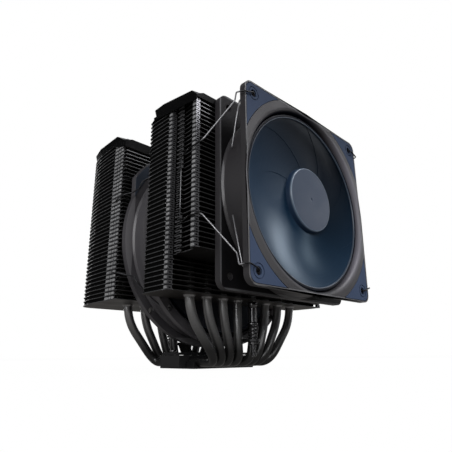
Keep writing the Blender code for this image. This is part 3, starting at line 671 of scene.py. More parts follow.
def rotor_surface(name, fan, dark, light, rough):
    """Moulded blades: shading eased towards the smooth dish they sweep."""
    shader = Shader(name)
    x, _, height = shader.coords.xyz()
    z, radius = from_axis(x, height, fan)
    radius = radius.maths("MAXIMUM", 0.001)
    reach = radius.ramp_mm(HUB_R, fan.ring_radius - 1.2)
    slope = reach.ramp(0.0, 1.0, *DISH_SLOPES) / radius
    pitch = reach.ramp(0.0, 1.0, *PITCH_SLOPES) / radius
    dish = shader.node("CombineXYZ")
    for socket, value in zip(dish.inputs, (x * slope - z * pitch, -1.0,
                                           z * slope + x * pitch)):
        shader.put(socket, value)
    smooth = Value(shader, dish.outputs[0]).through(
        "VectorTransform", vector_type="NORMAL", convert_from="OBJECT", convert_to="WORLD")
    smooth = smooth.through("VectorMath", operation="NORMALIZE")
    normal = shader.geometry("Normal")
    own = normal.through("VectorTransform", vector_type="NORMAL", convert_from="WORLD",
                         convert_to="OBJECT")
    front = own.xyz()[1].ramp(-0.75, -0.45, 1.0, 0.0)
    mixed = shader.node("Mix", data_type="VECTOR")
    for i, value in ((0, front), (4, normal), (5, smooth)):
        shader.put(mixed.inputs[i], value)
    eased = Value(shader, mixed.outputs[1]).through("VectorMath", operation="NORMALIZE")

    # faint rings about the axis
    rings = shader.node("TexNoise", noise_dimensions="1D")
    for key, value in (("Scale", 1500.0), ("Detail", 4.0), ("W", radius)):
        shader.put(rings.inputs[key], value)
    fine = shader.noise(3200.0, detail=3.0, rough=0.6)
    tone = Value(shader, rings.outputs["Fac"]) * 0.6 + fine * 0.4

    # painted shade: darker towards the top, with weaker reflections at the -x end
    world_x, _, world_z = shader.geometry("Position").xyz()
    lit = ((world_z - fan.z * MM) + world_x * 0.3).ramp_mm(-20.0, 45.0, 1.0, 0.13)
    relief = tone + (radius * 4200.0).maths("SINE") * 0.12
    return shader.finish({
        "Base Color": lit.mix((0.0, 0.0, 0.0), tone.tones(dark, light)),
        "Specular IOR Level": lit * world_x.ramp_mm(-55.0, -30.0, 0.72, 1.0) * 0.5,
        "Specular Tint": (0.66, 0.85, 1.0),
        "Roughness": tone.ramp(0.3, 0.7, rough - 0.03, rough + 0.04),
        "Normal": shader.bump(relief, 0.000006, normal=eased)})


def wire_surface(name, fan):
    """Drawn steel, bright on the free spans; painted shade makes it black where it lies
    against the fins, save a dim stretch near the fan's axis, and where it hooks over the
    frame's front face.
    """
    free_end, fins_start = -79.5, -57.0
    dark, bright = (0.015, 0.015, 0.016), (0.22, 0.22, 0.23)
    shader = Shader(name)
    _, y, z = shader.coords.xyz()
    offset = (z - fan.z * MM).maths("ABSOLUTE")
    # painted shade: black except on the free spans, with a dim stretch near the axis
    free = (y.ramp_mm(free_end, free_end + 2.5, 1.0, 0.0) * y.ramp_mm(-97.5, -95.5))
    middle = (y.ramp_mm(fins_start - 1.5, fins_start)
              * offset.ramp_mm(10.0, 12.5, 1.0, 0.0))
    fine = shader.fine(2600.0)
    lit = fine.tones(bright, scaled(bright, 1.5))
    black = fine.tones(dark, scaled(dark, 1.7))
    return shader.finish({
        "Base Color": free.maths("MAXIMUM", middle * 0.35).mix(black, lit),
        "Metallic": 0.9,
        "Roughness": shader.noise(90.0).ramp(0.3, 0.7, 0.28, 0.4),
        "Normal": shader.bump(fine, 0.00001)})


# Each plain surface: name, dark tone, light tone, then its finish.
MATERIAL = {
    "fins": fin_surface("fins_black"),
    "tabs": surface("tabs_worn", (0.035, 0.035, 0.037), (0.08, 0.08, 0.083), metal=0.8,
                    rough=0.38, grain=1800.0, bump=0.00003, wear=(0.18, 0.18, 0.19)),
    "folds": surface("folds_shadow_black", (0.001, 0.001, 0.001), (0.003, 0.003, 0.003),
                     metal=0.0, rough=0.85, grain=1800.0, specular=0.04),
    "clasps": surface("clasps_bright", (0.10, 0.10, 0.105), (0.24, 0.24, 0.25), metal=0.6,
                      rough=0.34, grain=1800.0),
    "cells": surface("cells_worn", (0.08, 0.08, 0.082), (0.22, 0.22, 0.225), metal=0.8,
                     rough=0.36, grain=1800.0, bump=0.00003),
    "beads": surface("beads_worn", (0.28, 0.28, 0.285), (0.85, 0.85, 0.86), metal=0.7,
                     rough=0.34, grain=1500.0, bump=0.00003),
    # painted shade: the pipes darken towards the base
    "pipe": surface("pipes_satin", (0.28, 0.28, 0.283), (0.40, 0.40, 0.405), metal=0.85,
                    rough=0.32, grain=2400.0, bump=0.00001, stretch=(1, 1, 0.25),
                    specular=0.6, height_shade=(38.0, 11.0, 0.14)),
    "cover": cover_surface("covers_brushed"),
    "base": surface("base_milled", (0.030, 0.030, 0.032), (0.052, 0.052, 0.054), metal=0.85,
                    rough=0.36, grain=1500.0, stretch=(3.0, 0.12, 1.0), streak=0.4),
    "block": surface("block_coated", (0.018, 0.018, 0.019), (0.032, 0.032, 0.034),
                     metal=0.45, rough=0.42, grain=2400.0, bump=0.00003),
    "bar": surface("crossbar_dark_steel", (0.025, 0.025, 0.027), (0.05, 0.05, 0.053),
                   metal=0.8, rough=0.38, grain=1700.0, stretch=(1, 0.15, 1), streak=0.3),
    "spring": surface("spring_blackened", (0.02, 0.02, 0.021), (0.045, 0.045, 0.047),
                      metal=0.85, rough=0.34, bump=0.00001),
    "steel": surface("screw_steel", (0.09, 0.09, 0.093), (0.18, 0.18, 0.185), metal=1.0,
                     rough=0.24, bump=0.00001, stretch=(1, 1, 0.3)),
    "front_wire": wire_surface("clip_wire", FRONT),
    "middle_wire": surface("clip_wire_black", (0.03, 0.03, 0.033), (0.06, 0.06, 0.065),
                           metal=0.8, rough=0.4, bump=0.00001),
    "front_frame": frame_surface("frame_moulded", FRONT, (0.024, 0.0225, 0.025),
                                 (0.034, 0.032, 0.035), edge=(0.13, 0.13, 0.137),
                                 rough=0.44, dim=0.85, glow=0.95),
    # painted shade: the pads darken towards the top
    "pad": surface("pad_rubber", (0.042, 0.062, 0.112), (0.055, 0.078, 0.136), metal=0.0,
                   rough=0.74, grain=3600.0, bump=0.00005, specular=0.12,
                   height_shade=(112.0, 158.0, 0.62)),
    "ear_pad": surface("ear_pad_rubber", (0.020, 0.026, 0.038), (0.030, 0.038, 0.054),
                       metal=0.0, rough=0.72, grain=3600.0, bump=0.00005, specular=0.2),
    "front_hub": hub_surface("front_hub", FRONT),
    "middle_hub": hub_surface("middle_hub", MIDDLE),
    "front_ring": ring_surface("front_rotor_ring", FRONT),
    "middle_ring": ring_surface("middle_rotor_ring", MIDDLE),
    "front_blades": rotor_surface("front_blades", FRONT, (0.0025, 0.015, 0.038),
                                  (0.004, 0.021, 0.049), rough=0.36),
    "middle_blades": rotor_surface("middle_blades", MIDDLE, (0.030, 0.030, 0.038),
                                   (0.042, 0.041, 0.050), rough=0.42),
    "middle_frame": frame_surface("middle_frame_moulded", MIDDLE, (0.055, 0.052, 0.058),
                                  (0.075, 0.072, 0.078), edge=(0.17, 0.165, 0.175),
                                  rough=0.40, dim=0.15),
    "magnet": surface("magnet_ferrite", (0.05, 0.05, 0.052), (0.085, 0.085, 0.09),
                      metal=0.6, rough=0.55, grain=1800.0, bump=0.00004),
    "copper": surface("stator_windings", (0.42, 0.17, 0.08), (0.62, 0.28, 0.14), metal=0.9,
                      rough=0.35, grain=1600.0, bump=0.00006, stretch=(0.3, 3.0, 0.3)),
    "brass": surface("bearing_brass", (0.50, 0.37, 0.15), (0.66, 0.50, 0.22), metal=0.95,
                     rough=0.32, grain=1800.0, bump=0.00001, stretch=(1, 0.2, 1)),
    "board": surface("board_laminate", (0.012, 0.075, 0.035), (0.022, 0.12, 0.055),
                     metal=0.0, rough=0.4, grain=1500.0, bump=0.00003),
}


# ---------------------------------------------------------------- fin towers
# Half outlines of the fins, (x, y) from front to rear; those above FIN_CUT_Z reach forward.
FRONT_FIN_REAR = [(73.2, -48.8), (73.2, -44.6), (73.9, -44.1), (73.6, -27.0), (72.2, -22.2),
                  (68.5, -20.0)]
UPPER_FIN = [(70.9, -72.7), (70.9, -71.8), (73.3, -71.8), (73.3, -67.9), (70.6, -66.9),
             (69.9, -61.0), (69.6, -56.4), (70.9, -56.0), (70.9, -52.4), (69.6, -52.0),
             (69.6, -48.8)] + FRONT_FIN_REAR
LOWER_FIN = [(70.4, -49.2), (70.6, -48.8)] + FRONT_FIN_REAR
REAR_FIN = [(73.2, 6.0), (73.2, 12.6), (72.4, 12.8), (72.4, 13.6), (73.2, 13.8),
            (73.2, 20.6), (73.8, 21.0), (73.4, 34.0), (72.9, 44.0), (71.6, 52.0),
            (70.2, 58.0), (68.6, 61.6), (66.4, 64.4), (63.4, 65.9), (60.0, 66.5)]
# Lines (x, y) of the folded lips inside the rims, which are drawn black as painted shade in
# the gaps.
FRONT_LIP = [(72.9, -43.8), (72.6, -27.3), (71.4, -23.0), (68.3, -21.1)]
REAR_LIP = [(72.8, 21.4), (72.4, 34.0), (71.9, 43.9), (70.6, 51.7), (69.3, 57.5),
            (67.8, 60.9), (65.9, 63.5), (63.1, 64.9), (60.0, 65.5)]
SHEET_INSET = 0.02    # tab sheets are this much thinner than a fin on each face


def add_fin(parts, half_outline, z, pipe_y, screw_y):
    holes = [circle(side * x, pipe_y, PIPE_R + 0.35, 20)
             for x in PIPE_LEG_X for side in (-1, 1)]
    holes.append(circle(0.0, screw_y, 3.2, 20))
    parts["fins"].join(extrude([mirror_loop(half_outline)] + holes, z, z + FIN_THICK))


def tab_side(parts, side, front, rear, z, split=0.0, span=(0.12, 0.82)):
    """Folded tabs of one fin: raised cells with beads over a black sheet of painted shade in
    the gap.

    split parts the tab into two columns, the front one deeper; span is the bead's share.
    """
    parts["tabs"].join(box(side * (STRIP_X - 2.3), side * (STRIP_X - 0.75), front, rear,
                           z + SHEET_INSET, z + FIN_THICK - SHEET_INSET))
    # painted shade: a black sheet in the gap behind the tabs
    parts["folds"].join(box(side * (STRIP_X - 1.1), side * (STRIP_X - 0.8), front + 0.1,
                            rear - 0.1, z + FIN_THICK - SHEET_INSET, z + FIN_PITCH))
    columns = [(front, rear)]
    if split:
        columns = [(front, split - 0.2), (split + 0.2, rear)]
    for start, end in columns:
        width = end - start
        middle = 0.5 * (start + end)
        face_x = STRIP_X - (0.3 if end == rear else 0.4)
        bead = rectangle(start + span[0] * width, start + span[1] * width, z + 0.5, z + 2.05)
        parts["beads"].join(extrude([rounded(bead, 0.3)], face_x, face_x + 0.25,
                                    along_x(side)))
        cell = rounded(rectangle(start, end, z + 0.35, z + 2.2), 0.4)
        slit = rectangle(middle - 0.14 * width, middle + 0.14 * width, z + 0.85, z + 1.25)
        parts["cells"].join(extrude([cell, slit], STRIP_X - 0.9, face_x, along_x(side)))


def tab_front(tabs, side, inner, outer, y, z):
    """Return of the tab round the front corner, with a slot."""
    left, right = sorted((side * inner, side * outer))
    middle, reach = 0.5 * (left + right), 0.24 * (right - left)
    tabs.join(extrude([rectangle(left, right, z + SHEET_INSET, z + FIN_PITCH - 0.5),
                       rectangle(middle - reach, middle + reach, z + 0.7, z + 1.5)],
                      y + 0.15, y + 0.6, along_y()))
    tabs.join(box(left, right, y + 0.4, y + 1.6, z + SHEET_INSET,
                  z + FIN_THICK - SHEET_INSET))


def lips(folds, side, line, z):
    """Folded edge just inside the rim, up to the fin above, in black as painted shade in the
    gap.
    """
    points = [(side * x, y) for x, y in line]
    for start, end in zip(points, points[1:]):
        run = Vector((end[0] - start[0], end[1] - start[1]))
        inward = Vector((-run.y, run.x)).normalized() * 0.3
        shifted = [(x + inward.x, y + inward.y) for x, y in (end, start)]
        folds.join(extrude([[start, end] + shifted], z + FIN_THICK - 0.05,
                           z + FIN_PITCH + 0.05))


def wire_bracket(parts, side, z):
    """Bracket folded round the wire channel; a plain strip near the fan's axis."""
    off_axis = abs(z + 1.4 - FRONT.z)
    inner, outer = side * 71.0, side * 71.7
    if off_axis > 14.0:
        parts["clasps"].join(box(inner, outer, -57.0, -51.6, z + 0.9, z + 1.45))
        # painted shade: a black sheet in the gap behind the bracket
        parts["folds"].join(box(side * 69.9, inner, -56.8, -51.8, z + FIN_THICK,
                                z + FIN_PITCH - 0.4))
        bottom = z - 0.35 if off_axis < 30.0 else z + 0.3
        parts["clasps"].join(box(inner, outer, -57.2, -56.6, bottom, z + 1.45))
    else:
        parts["clasps"].join(box(inner, outer, -56.7, -51.9, z + 0.1, z + 0.5))


def make_tower(tower, parts):
    for part, shape in parts.items():
        make(f"{tower}_tower_{part}", shape, part, flat=True,
             replaces=f"{tower}_fin_stack" if part == "fins" else None)


def front_tower():
    parts = {part: Shape() for part in ("fins", "tabs", "cells", "clasps", "beads", "folds")}
    for z in FIN_Z:
        upper = z > FIN_CUT_Z
        add_fin(parts, UPPER_FIN if upper else LOWER_FIN, z, PIPE_FRONT_Y, -SCREW_Y)
        if z == FIN_Z[-1]:
            continue
        for side in (-1, 1):
            if upper:
                tab_side(parts, side, -71.7, -68.3, z)
                tab_front(parts["tabs"], side, 71.0, 73.95, -72.05, z)
                wire_bracket(parts, side, z)
            tab_side(parts, side, -48.8, -45.3, z)
            tab_front(parts["tabs"], side, 70.6, 73.95, -49.2, z)
            lips(parts["folds"], side, FRONT_LIP, z)
    make_tower("front", parts)


def rear_tower():
    parts = {part: Shape() for part in ("fins", "tabs", "cells", "beads", "folds")}
    for z in FIN_Z:
        add_fin(parts, REAR_FIN, z, PIPE_REAR_Y, SCREW_Y)
        if z == FIN_Z[-1]:
            continue
        for side in (-1, 1):
            tab_side(parts, side, 8.7, 12.0, z, span=(0.1, 0.9))
            tab_side(parts, side, 12.7, 20.4, z, split=15.6, span=(0.08, 0.92))
            lips(parts["folds"], side, REAR_LIP, z)
    make_tower("rear", parts)


def collars():
    """Collars where the pipes enter the lowest fin of each tower."""
    bore = PIPE_R + 0.05
    profile = [(bore, -1.0), (3.3, -1.1), (3.75, -0.2), (4.2, 0.05), (4.2, 0.25), (bore, 0.25)]
    shape = Shape()
    for y in (PIPE_FRONT_Y, PIPE_REAR_Y):
        for x in PIPE_LEG_X:
            for side in (-1, 1):
                shape.join(lathe(profile, 28, (side * x, y, FIN_BOTTOM), "z"))
    make("pipe_collars", shape, "pipe", sharp=50.0)


# -------------------------------------------------------------------- covers
COVER_BOTTOM, COVER_TOP = 158.7, 165.8
COVER_SHOULDER, COVER_SINK = 0.7, 0.45    # rounding below the top, depth of the top panel
SHOULDER_SHARE = 0.86                     # share of height and slope where the walls break
SKIRT_TOP = 158.9


def cover(name, lower, upper, screw_y, replaces):
    """Cap over a tower, from half outlines (x, y) at its foot and at its top."""
    foot, brow = mirror_loop(lower), mirror_loop(upper)
    centre_y = sum(y for _, y in foot) / len(foot)
    shape = Shape()

    def inset(loop, amount):
        return [(x - copysign(amount, x), y - copysign(amount, y - centre_y))
                for x, y in loop]

    def walls(loop, z, other, other_z):
        for i in range(len(loop)):
            j = (i + 1) % len(loop)
            shape.face([(*loop[i], z), (*loop[j], z), (*other[j], other_z),
                        (*other[i], other_z)])

    def cap(loops, z):
        for triangle in flat_triangles(loops):
            shape.face([(x, y, z) for x, y in triangle])

    waist = [(start[0] + (end[0] - start[0]) * SHOULDER_SHARE,
              start[1] + (end[1] - start[1]) * SHOULDER_SHARE)
             for start, end in zip(foot, brow)]
    waist_z = COVER_BOTTOM + (COVER_TOP - COVER_BOTTOM) * SHOULDER_SHARE
    shoulder_z, sunk_z = COVER_TOP - COVER_SHOULDER, COVER_TOP - COVER_SINK
    hole_z = sunk_z - COVER_SINK
    hole, rim = circle(0.0, screw_y, 3.4, 36), circle(0.0, screw_y, 4.2, 36)
    top, panel, sunk = inset(brow, 0.5), inset(brow, 5.0), inset(brow, 5.5)
    walls(foot, COVER_BOTTOM, waist, waist_z)
    walls(waist, waist_z, brow, shoulder_z)
    walls(brow, shoulder_z, top, COVER_TOP)
    cap([top, panel], COVER_TOP)
    walls(panel, COVER_TOP, sunk, sunk_z)
    cap([sunk, rim], sunk_z)
    walls(rim, sunk_z, hole, hole_z)
    walls(hole, COVER_BOTTOM, hole, hole_z)
    cap([foot, hole], COVER_BOTTOM)
    make(name, shape, "cover", replaces=replaces, bevel=0.25,
         bevel_over=25.0, merge=True, sharp=25.0)


def skirts():
    """Thin folded skirts that hang from the covers over the top fins."""
    side_skirts = (    # (y, z)
        [(-72.85, 152.6), (-52.0, 154.6), (-36.0, 156.0), (-29.5, 156.9),
         (-29.0, SKIRT_TOP), (-68.5, SKIRT_TOP), (-72.85, 156.2)],
        [(5.65, 151.8), (20.5, 156.6), (33.0, SKIRT_TOP), (12.5, SKIRT_TOP), (5.65, 156.8)])
    shape = Shape()
    for side in (-1, 1):
        for outline in side_skirts:
            shape.join(extrude([outline], 74.4, 74.8, along_x(side)))
    # bottom, height of the cut corners, front and rear faces
    for bottom, corner, front, rear in ((154.8, 156.2, -72.98, -72.76),
                                        (151.8, 156.8, 5.62, 5.86)):
        shape.join(extrude([[(-74.8, bottom), (74.8, bottom), (74.8, corner),
                             (69.4, SKIRT_TOP), (-69.4, SKIRT_TOP), (-74.8, corner)]],
                           front, rear, along_y()))
    make("cover_skirts_folded", shape, "cover", flat=True)


# ---------------------------------------------------------------- heat pipes
def heat_pipe(i):
    side = -1 if i < 4 else 1
    rank = 3 - i if i < 4 else i - 4    # counted outward from the middle

    def half(leg_y, toward):
        leg_x = side * PIPE_LEG_X[rank]
        return bend([(PIPE_X[i], toward * (BASE_Y + 1.4), PIPE_Z),
                     (side * PIPE_BEND_X[rank], leg_y - toward * 1.0, PIPE_Z - 0.1),
                     (leg_x, leg_y, PIPE_BEND_Z[rank]),
                     (leg_x, leg_y, PIPE_TIP_Z - 2.4)], 12.0, 12)

    line = half(PIPE_FRONT_Y, -1)[::-1] + half(PIPE_REAR_Y, 1)
    make(f"heat_pipe_{i + 1}_smooth", sweep(line, PIPE_R, 28), "pipe",
         replaces=f"heat_pipe_{i + 1}", sharp=60.0)


# ---------------------------------------------------------------------- base
def base_plate():
    """Plate with eight half-round grooves for the pipes."""
    loop = [(-BASE_X, 0.0), (BASE_X, 0.0), (BASE_X, PIPE_Z)]
    for x in reversed(PIPE_X):
        loop += arc(x, PIPE_Z, GROOVE_R, 0.0, -180.0, 10)
    loop.append((-BASE_X, PIPE_Z))
    make("base_plate_milled", extrude([loop], -BASE_Y, BASE_Y, along_y()), "base",
         replaces="base_plate", bevel=0.3, bevel_over=60.0, sharp=40.0)


def clamp_block():
    """Block that straddles the plate and lies over the pipes."""
    inner, seat = BASE_X + GAP, PIPE_Z + GAP
    half_groove = sqrt(GROOVE_R ** 2 - GAP ** 2)
    loop = [(-BLOCK_X, BLOCK_BOTTOM), (-inner, BLOCK_BOTTOM), (-inner, seat)]
    for x in PIPE_X:
        loop.append((x - half_groove, seat))
        loop += arc(x, PIPE_Z, GROOVE_R, 170.0, 10.0, 10)
        loop.append((x + half_groove, seat))
    loop += [(inner, seat), (inner, BLOCK_BOTTOM), (BLOCK_X, BLOCK_BOTTOM),
             (BLOCK_X, BLOCK_TOP), (-BLOCK_X, BLOCK_TOP)]
    make("clamp_block_cast", extrude([loop], -BLOCK_Y, BLOCK_Y, along_y()), "block",
         replaces="base_clamp_block", bevel=0.35, bevel_over=60.0, sharp=40.0)


def crossbar():
    """Pressed bar: centre plate, two tapering arms that rise, and an eye on each end."""
    eye_r, neck = 4.3, 2.3
    neck_y = SCREW_Y - sqrt(eye_r ** 2 - neck ** 2)
    # arm stations: y, half width
    stations = [(9.6, 8.0), (15.0, 7.1), (21.0, 6.2), (23.0, 5.8), (25.0, 5.3), (27.0, 4.8),
                (29.0, 4.3), (31.0, 3.7), (34.5, neck), (neck_y, neck)]

    def raised(x, y, z):
        part = min(1.0, max(0.0, (abs(y) - 21.0) / 10.0))
        return x, y, z + BAR_RISE * part * part * (3 - 2 * part)

    plate = [(-33.6, -9.6), (-8.0, -9.6), (8.0, -9.6), (33.6, -9.6),
             (33.6, 9.6), (8.0, 9.6), (-8.0, 9.6), (-33.6, 9.6)]
    cells = [[plate] + [circle(side * BAR_SCREW_X, 0.0, 1.5, 24) for side in (-1, 1)]]
    start = atan2(neck_y - SCREW_Y, neck)
    eye = [polar(eye_r, start + (pi - 2 * start) * i / 36, 0.0, SCREW_Y) for i in range(37)]
    for end in (-1, 1):
        for (near, near_width), (far, far_width) in zip(stations, stations[1:]):
            cells.append([[(-near_width, end * near), (near_width, end * near),
                           (far_width, end * far), (-far_width, end * far)]])
        cells.append([[(x, end * y) for x, y in eye], circle(0.0, end * SCREW_Y, 2.1, 32)])
    shape = layered(cells, [BAR_Z, BAR_Z + BAR_THICK], [set(range(len(cells)))], raised)
    make("mounting_crossbar_pressed", shape, "bar",
         replaces="mounting_crossbar", bevel=0.25, bevel_over=50.0, sharp=40.0)


def crossbar_screws():
    foot, seat = BAR_Z + 0.1, BAR_Z + BAR_THICK + GAP
    profile = [(0.0, foot), (1.15, foot), (1.15, seat), (2.2, seat), (2.3, seat + 0.15),
               (2.3, seat + 0.8), (2.15, seat + 1.1), (1.8, seat + 1.35), (1.1, seat + 1.4),
               (0.85, seat + 1.3), (0.85, seat + 0.6), (0.0, seat + 0.45)]
    for name, side in SIDES:
        make(f"crossbar_screw_{name}_head",
             lathe(profile, 32, (side * BAR_SCREW_X, 0.0, 0.0), "z"), "steel",
             replaces="crossbar_screw_" + name, sharp=40.0)


# ----------------------------------------------------------- mounting screws
SCREW_SIDES = 28
THREAD_PITCH, THREAD_START, THREAD_END = 0.8, TIP_Z + 0.8, 14.7
# pilot, shoulder, shank and head above the thread: radius, z
SCREW_ROWS = (
    (1.55, 15.0), (1.55, 18.0), (1.55, 22.0), (1.55, 26.0), (1.55, 27.58), (3.1, 27.6),
    (3.3, 27.8), (3.3, 28.5), (3.1, 28.75), (2.1, 29.0), (1.8, 29.3), (1.8, 32.0),
    (1.8, 35.0), (1.8, 38.5), (2.1, 38.75), (2.7, 39.0), (2.9, 39.3), (2.9, HEAD_Z - 0.4),
    (2.7, HEAD_Z - 0.1), (2.4, HEAD_Z), (1.75, HEAD_Z))
WASHER = [(1.85, 15.45), (2.0, 15.3), (3.2, 15.3), (3.4, 15.5), (3.4, 16.15), (3.2, 16.35),
          (2.0, 16.35), (1.85, 16.2)]
SPRING_R, SPRING_WIRE_R, SPRING_TURNS, SPRING_STEPS = 2.75, 0.40, 4.6, 150
SPRING_BOTTOM = BAR_Z + BAR_RISE + BAR_THICK + GAP + 0.42
SPRING_TOP = 27.3 - 0.45


def screw_shape(centre_y):
    """Threaded tip up to a head with a hex recess."""
    angles = [2 * pi * j / SCREW_SIDES for j in range(SCREW_SIDES)]

    def row(radius_at, z):
        return [(*polar(radius_at(angle), angle, 0.0, centre_y), z) for angle in angles]

    def round_row(radius, z):
        return row(lambda angle: radius, z)

    def thread_row(z):
        def radius_at(angle):
            turned = ((z - THREAD_START) / THREAD_PITCH - angle / (2 * pi)) % 1.0
            return 1.5 + 0.4 * min(1.0, (1.0 - abs(2.0 * turned - 1.0)) * 1.3)
        return row(radius_at, z)

    def hex_row(radius, z):
        def radius_at(angle):
            from_flat = (angle + pi / 6) % (pi / 3) - pi / 6
            return radius * cos(pi / 6) / cos(from_flat)
        return row(radius_at, z)

    rows = [round_row(1.1, TIP_Z), round_row(1.35, TIP_Z + 0.5)]
    steps = int((THREAD_END - THREAD_START) / THREAD_PITCH * 8)
    rows += [thread_row(THREAD_START + (THREAD_END - THREAD_START) * i / steps)
             for i in range(steps + 1)]
    rows += [round_row(radius, z) for radius, z in SCREW_ROWS]
    rows += [hex_row(1.65, HEAD_Z - 0.15), hex_row(1.55, HEAD_Z - 2.1)]
    return skin(rows)


def spring_line(centre_y):
    """Coil whose end turns lie almost flat."""
    line = []
    for i in range(SPRING_STEPS + 1):
        turned = SPRING_TURNS * i / SPRING_STEPS
        climb = min(1.0, max(0.0, (turned - 0.7) / (SPRING_TURNS - 1.4)))
        z = (SPRING_BOTTOM + 0.25 * min(1.0, turned / 0.7)
             + (SPRING_TOP - SPRING_BOTTOM - 0.5) * climb
             + 0.25 * max(0.0, (turned - (SPRING_TURNS - 0.7)) / 0.7))
        line.append((*polar(SPRING_R, 2 * pi * turned, 0.0, centre_y), z))
    return line


def screws():
    for name, y in (("front", -SCREW_Y), ("rear", SCREW_Y)):
        make(f"spring_screw_{name}_turned", screw_shape(y), "steel",
             body=name + "_screw", replaces="spring_screw_" + name, sharp=38.0)
        make(f"screw_washer_{name}_turned", lathe(WASHER, 40, (0.0, y, 0.0), "z"), "steel",
             body=name + "_screw_washer", replaces="screw_washer_" + name,
             sharp=30.0)
        spring = make(f"screw_spring_{name}_wound", sweep(spring_line(y), SPRING_WIRE_R, 12),
                      "spring", replaces="screw_spring_" + name, sharp=60.0)
        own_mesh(spring)


# ---------------------------------------------------------------- fan frames
# Corners seen from the front, in the order of quarter turns: name, side in x, side in z.
CORNERS = (("top_right", 1, 1), ("top_left", -1, 1), ("bottom_left", -1, -1),
           ("bottom_right", 1, -1))
STRUTS = [radians(angle) for angle in (40.0, 130.0, 220.0, 310.0)]
STRUT_LEAN = 0.30                         # radians a strut leans from bore to motor plate
STRUT_OUTER, STRUT_INNER = 0.034, 0.11    # half widths at its ends, radians
PLATE_R, TUBE_OUTER, TUBE_INNER = 20.6, 4.6, 3.3
LIP = 2.6                                 # rounding of the bore's front edge
BEAD_START, BEAD_END = 18.2, 20.8         # bead round the duct, depth
FRAME_LEVELS = [0.0, 0.06, 0.22, 0.48, 0.85, 1.3, 1.5, 1.9, LIP, 4.0, 8.0, 14.0, BEAD_START,
                18.6, 19.2, 19.8, 20.4, BEAD_END, 21.0, 23.5, 25.0]


def strut_angles(count, struts, half):
    """Angles of an even circle, with points moved to the edges of each strut."""
    def near(angle, mark, reach):
        return abs((angle - mark + pi) % (2 * pi) - pi) < reach

    marks = [strut + offset for strut in struts for offset in (-half, half)]
    even = [2 * pi * i / count for i in range(count)]
    kept = [angle for angle in even
            if not any(near(angle, mark, 0.018) for mark in marks)
            and not any(near(angle, strut, half) for strut in struts)]
    return sorted(kept + [mark % (2 * pi) for mark in marks])


def square_outline(half, corner):
    quarter = [(half, 0.0)] + arc(half - corner, half - corner, corner, 0.0, 90.0, 8)
    return [point for i in range(4) for point in turn(quarter, i)]


def middle_outline():
    """Round below, straight shoulders and rounded ears above."""
    shoulder, ear = acos(MIDDLE.half / MIDDLE_ROUND_R), acos(MIDDLE.half / EAR_R)
    points = []
    for start, end, radius, count in (
            (ear, pi / 2 - ear, EAR_R, 14), (pi / 2 + ear, pi - ear, EAR_R, 14),
            (pi - shoulder, 2 * pi + shoulder, MIDDLE_ROUND_R, 90)):
        points += [polar(radius, start + (end - start) * i / count)
                   for i in range(count + 1)]
    return points


def recess_loop(inset, corner, grow=0.0):
    """Corner of the front frame outside the pad arc, first quadrant, counter-clockwise."""
    edge = FRONT.half - inset
    radius = PAD_ARC_R + grow
    reach = sqrt(radius * radius - edge * edge)
    start = degrees(atan2(reach, edge))
    outer = arc(edge - corner, edge - corner, corner, 0.0, 90.0, 7)
    inner = arc(0.0, 0.0, radius, 90.0 - start, start, 14)[1:-1]
    return [(edge, reach)] + outer + [(reach, edge)] + inner


def filled_cells(depth, outer):
    """Solid cells at a depth; outer is the number of cells outside the bore."""
    plate, tube_wall, tube_core = outer, outer + 1, outer + 2
    rim, flange = {0, 1}, set(range(outer))
    if depth < 1.5:
        filled = rim
    elif 4.0 < depth < 21.0:
        filled = {0}
    else:
        filled = flange
    if depth > 7.9:
        filled = filled | {tube_wall}
    if depth > 21.0:
        filled = filled | {plate} | set(range(outer + 3, outer + 7))
    if depth > 23.5:
        filled = filled | {tube_core}
    return filled


def fan_frame(fan, name):
    bore_r, duct_r = fan.bore_radius, fan.duct_radius

    def place(x, z, depth):
        radius = hypot(x, z)
        if radius <= 1.0:
            return x, fan.y + depth, fan.z + z
        at_bore, at_duct = abs(radius - bore_r) < 0.05, abs(radius - duct_r) < 0.05
        out = radius
        if (at_bore or at_duct) and depth < LIP:
            flare = LIP - sqrt(max(0.0, LIP * LIP - (LIP - depth) ** 2))
            out += flare * (1.0 if at_bore else 0.7)
        if at_duct and BEAD_START < depth < BEAD_END:
            out += 1.3 * sin(pi * (depth - BEAD_START) / (BEAD_END - BEAD_START))
        return x * out / radius, fan.y + depth, fan.z + z * out / radius

    def hole(side, over):
        return circle(side * fan.hole_offset, over * fan.hole_offset, FAN_HOLE_R, 28)

    bore = [polar(bore_r, angle) for angle in strut_angles(144, STRUTS, STRUT_OUTER)]
    duct = circle(0.0, 0.0, duct_r, 144)
    cells = [[duct, bore]]
    if fan is FRONT:
        recesses = [turn(recess_loop(0.9, 5.2), i) for i in range(4)]
        cells.append([square_outline(fan.half, 6.0), duct] + recesses)
        cells += [[recess, hole(side, over)]
                  for recess, (_, side, over) in zip(recesses, CORNERS)]
    else:
        holes = [hole(side, over) for side in (-1, 1) for over in (-1, 1)]
        cells.append([middle_outline(), duct] + holes)
    outer = len(cells)

    leaning = [strut + STRUT_LEAN for strut in STRUTS]
    plate = [polar(PLATE_R, angle) for angle in strut_angles(96, leaning, STRUT_INNER)]
    tube_out, tube_in = circle(0.0, 0.0, TUBE_OUTER, 32), circle(0.0, 0.0, TUBE_INNER, 32)
    cells += [[plate, tube_out], [tube_out, tube_in], [tube_in]]
    for strut in STRUTS:
        cells.append([[polar(bore_r, strut + offset)
                       for offset in (-STRUT_OUTER, STRUT_OUTER)]
                      + [polar(PLATE_R, strut + STRUT_LEAN + offset)
                         for offset in (STRUT_INNER, -STRUT_INNER)]])
    filled = [filled_cells(0.5 * (low + high), outer)
              for low, high in zip(FRAME_LEVELS, FRAME_LEVELS[1:])]
    make(name, layered(cells, FRAME_LEVELS, filled, place), fan.name + "_frame",
         replaces=fan.name + "_fan_frame", bevel=0.3, bevel_over=38.0,
         sharp=36.0)


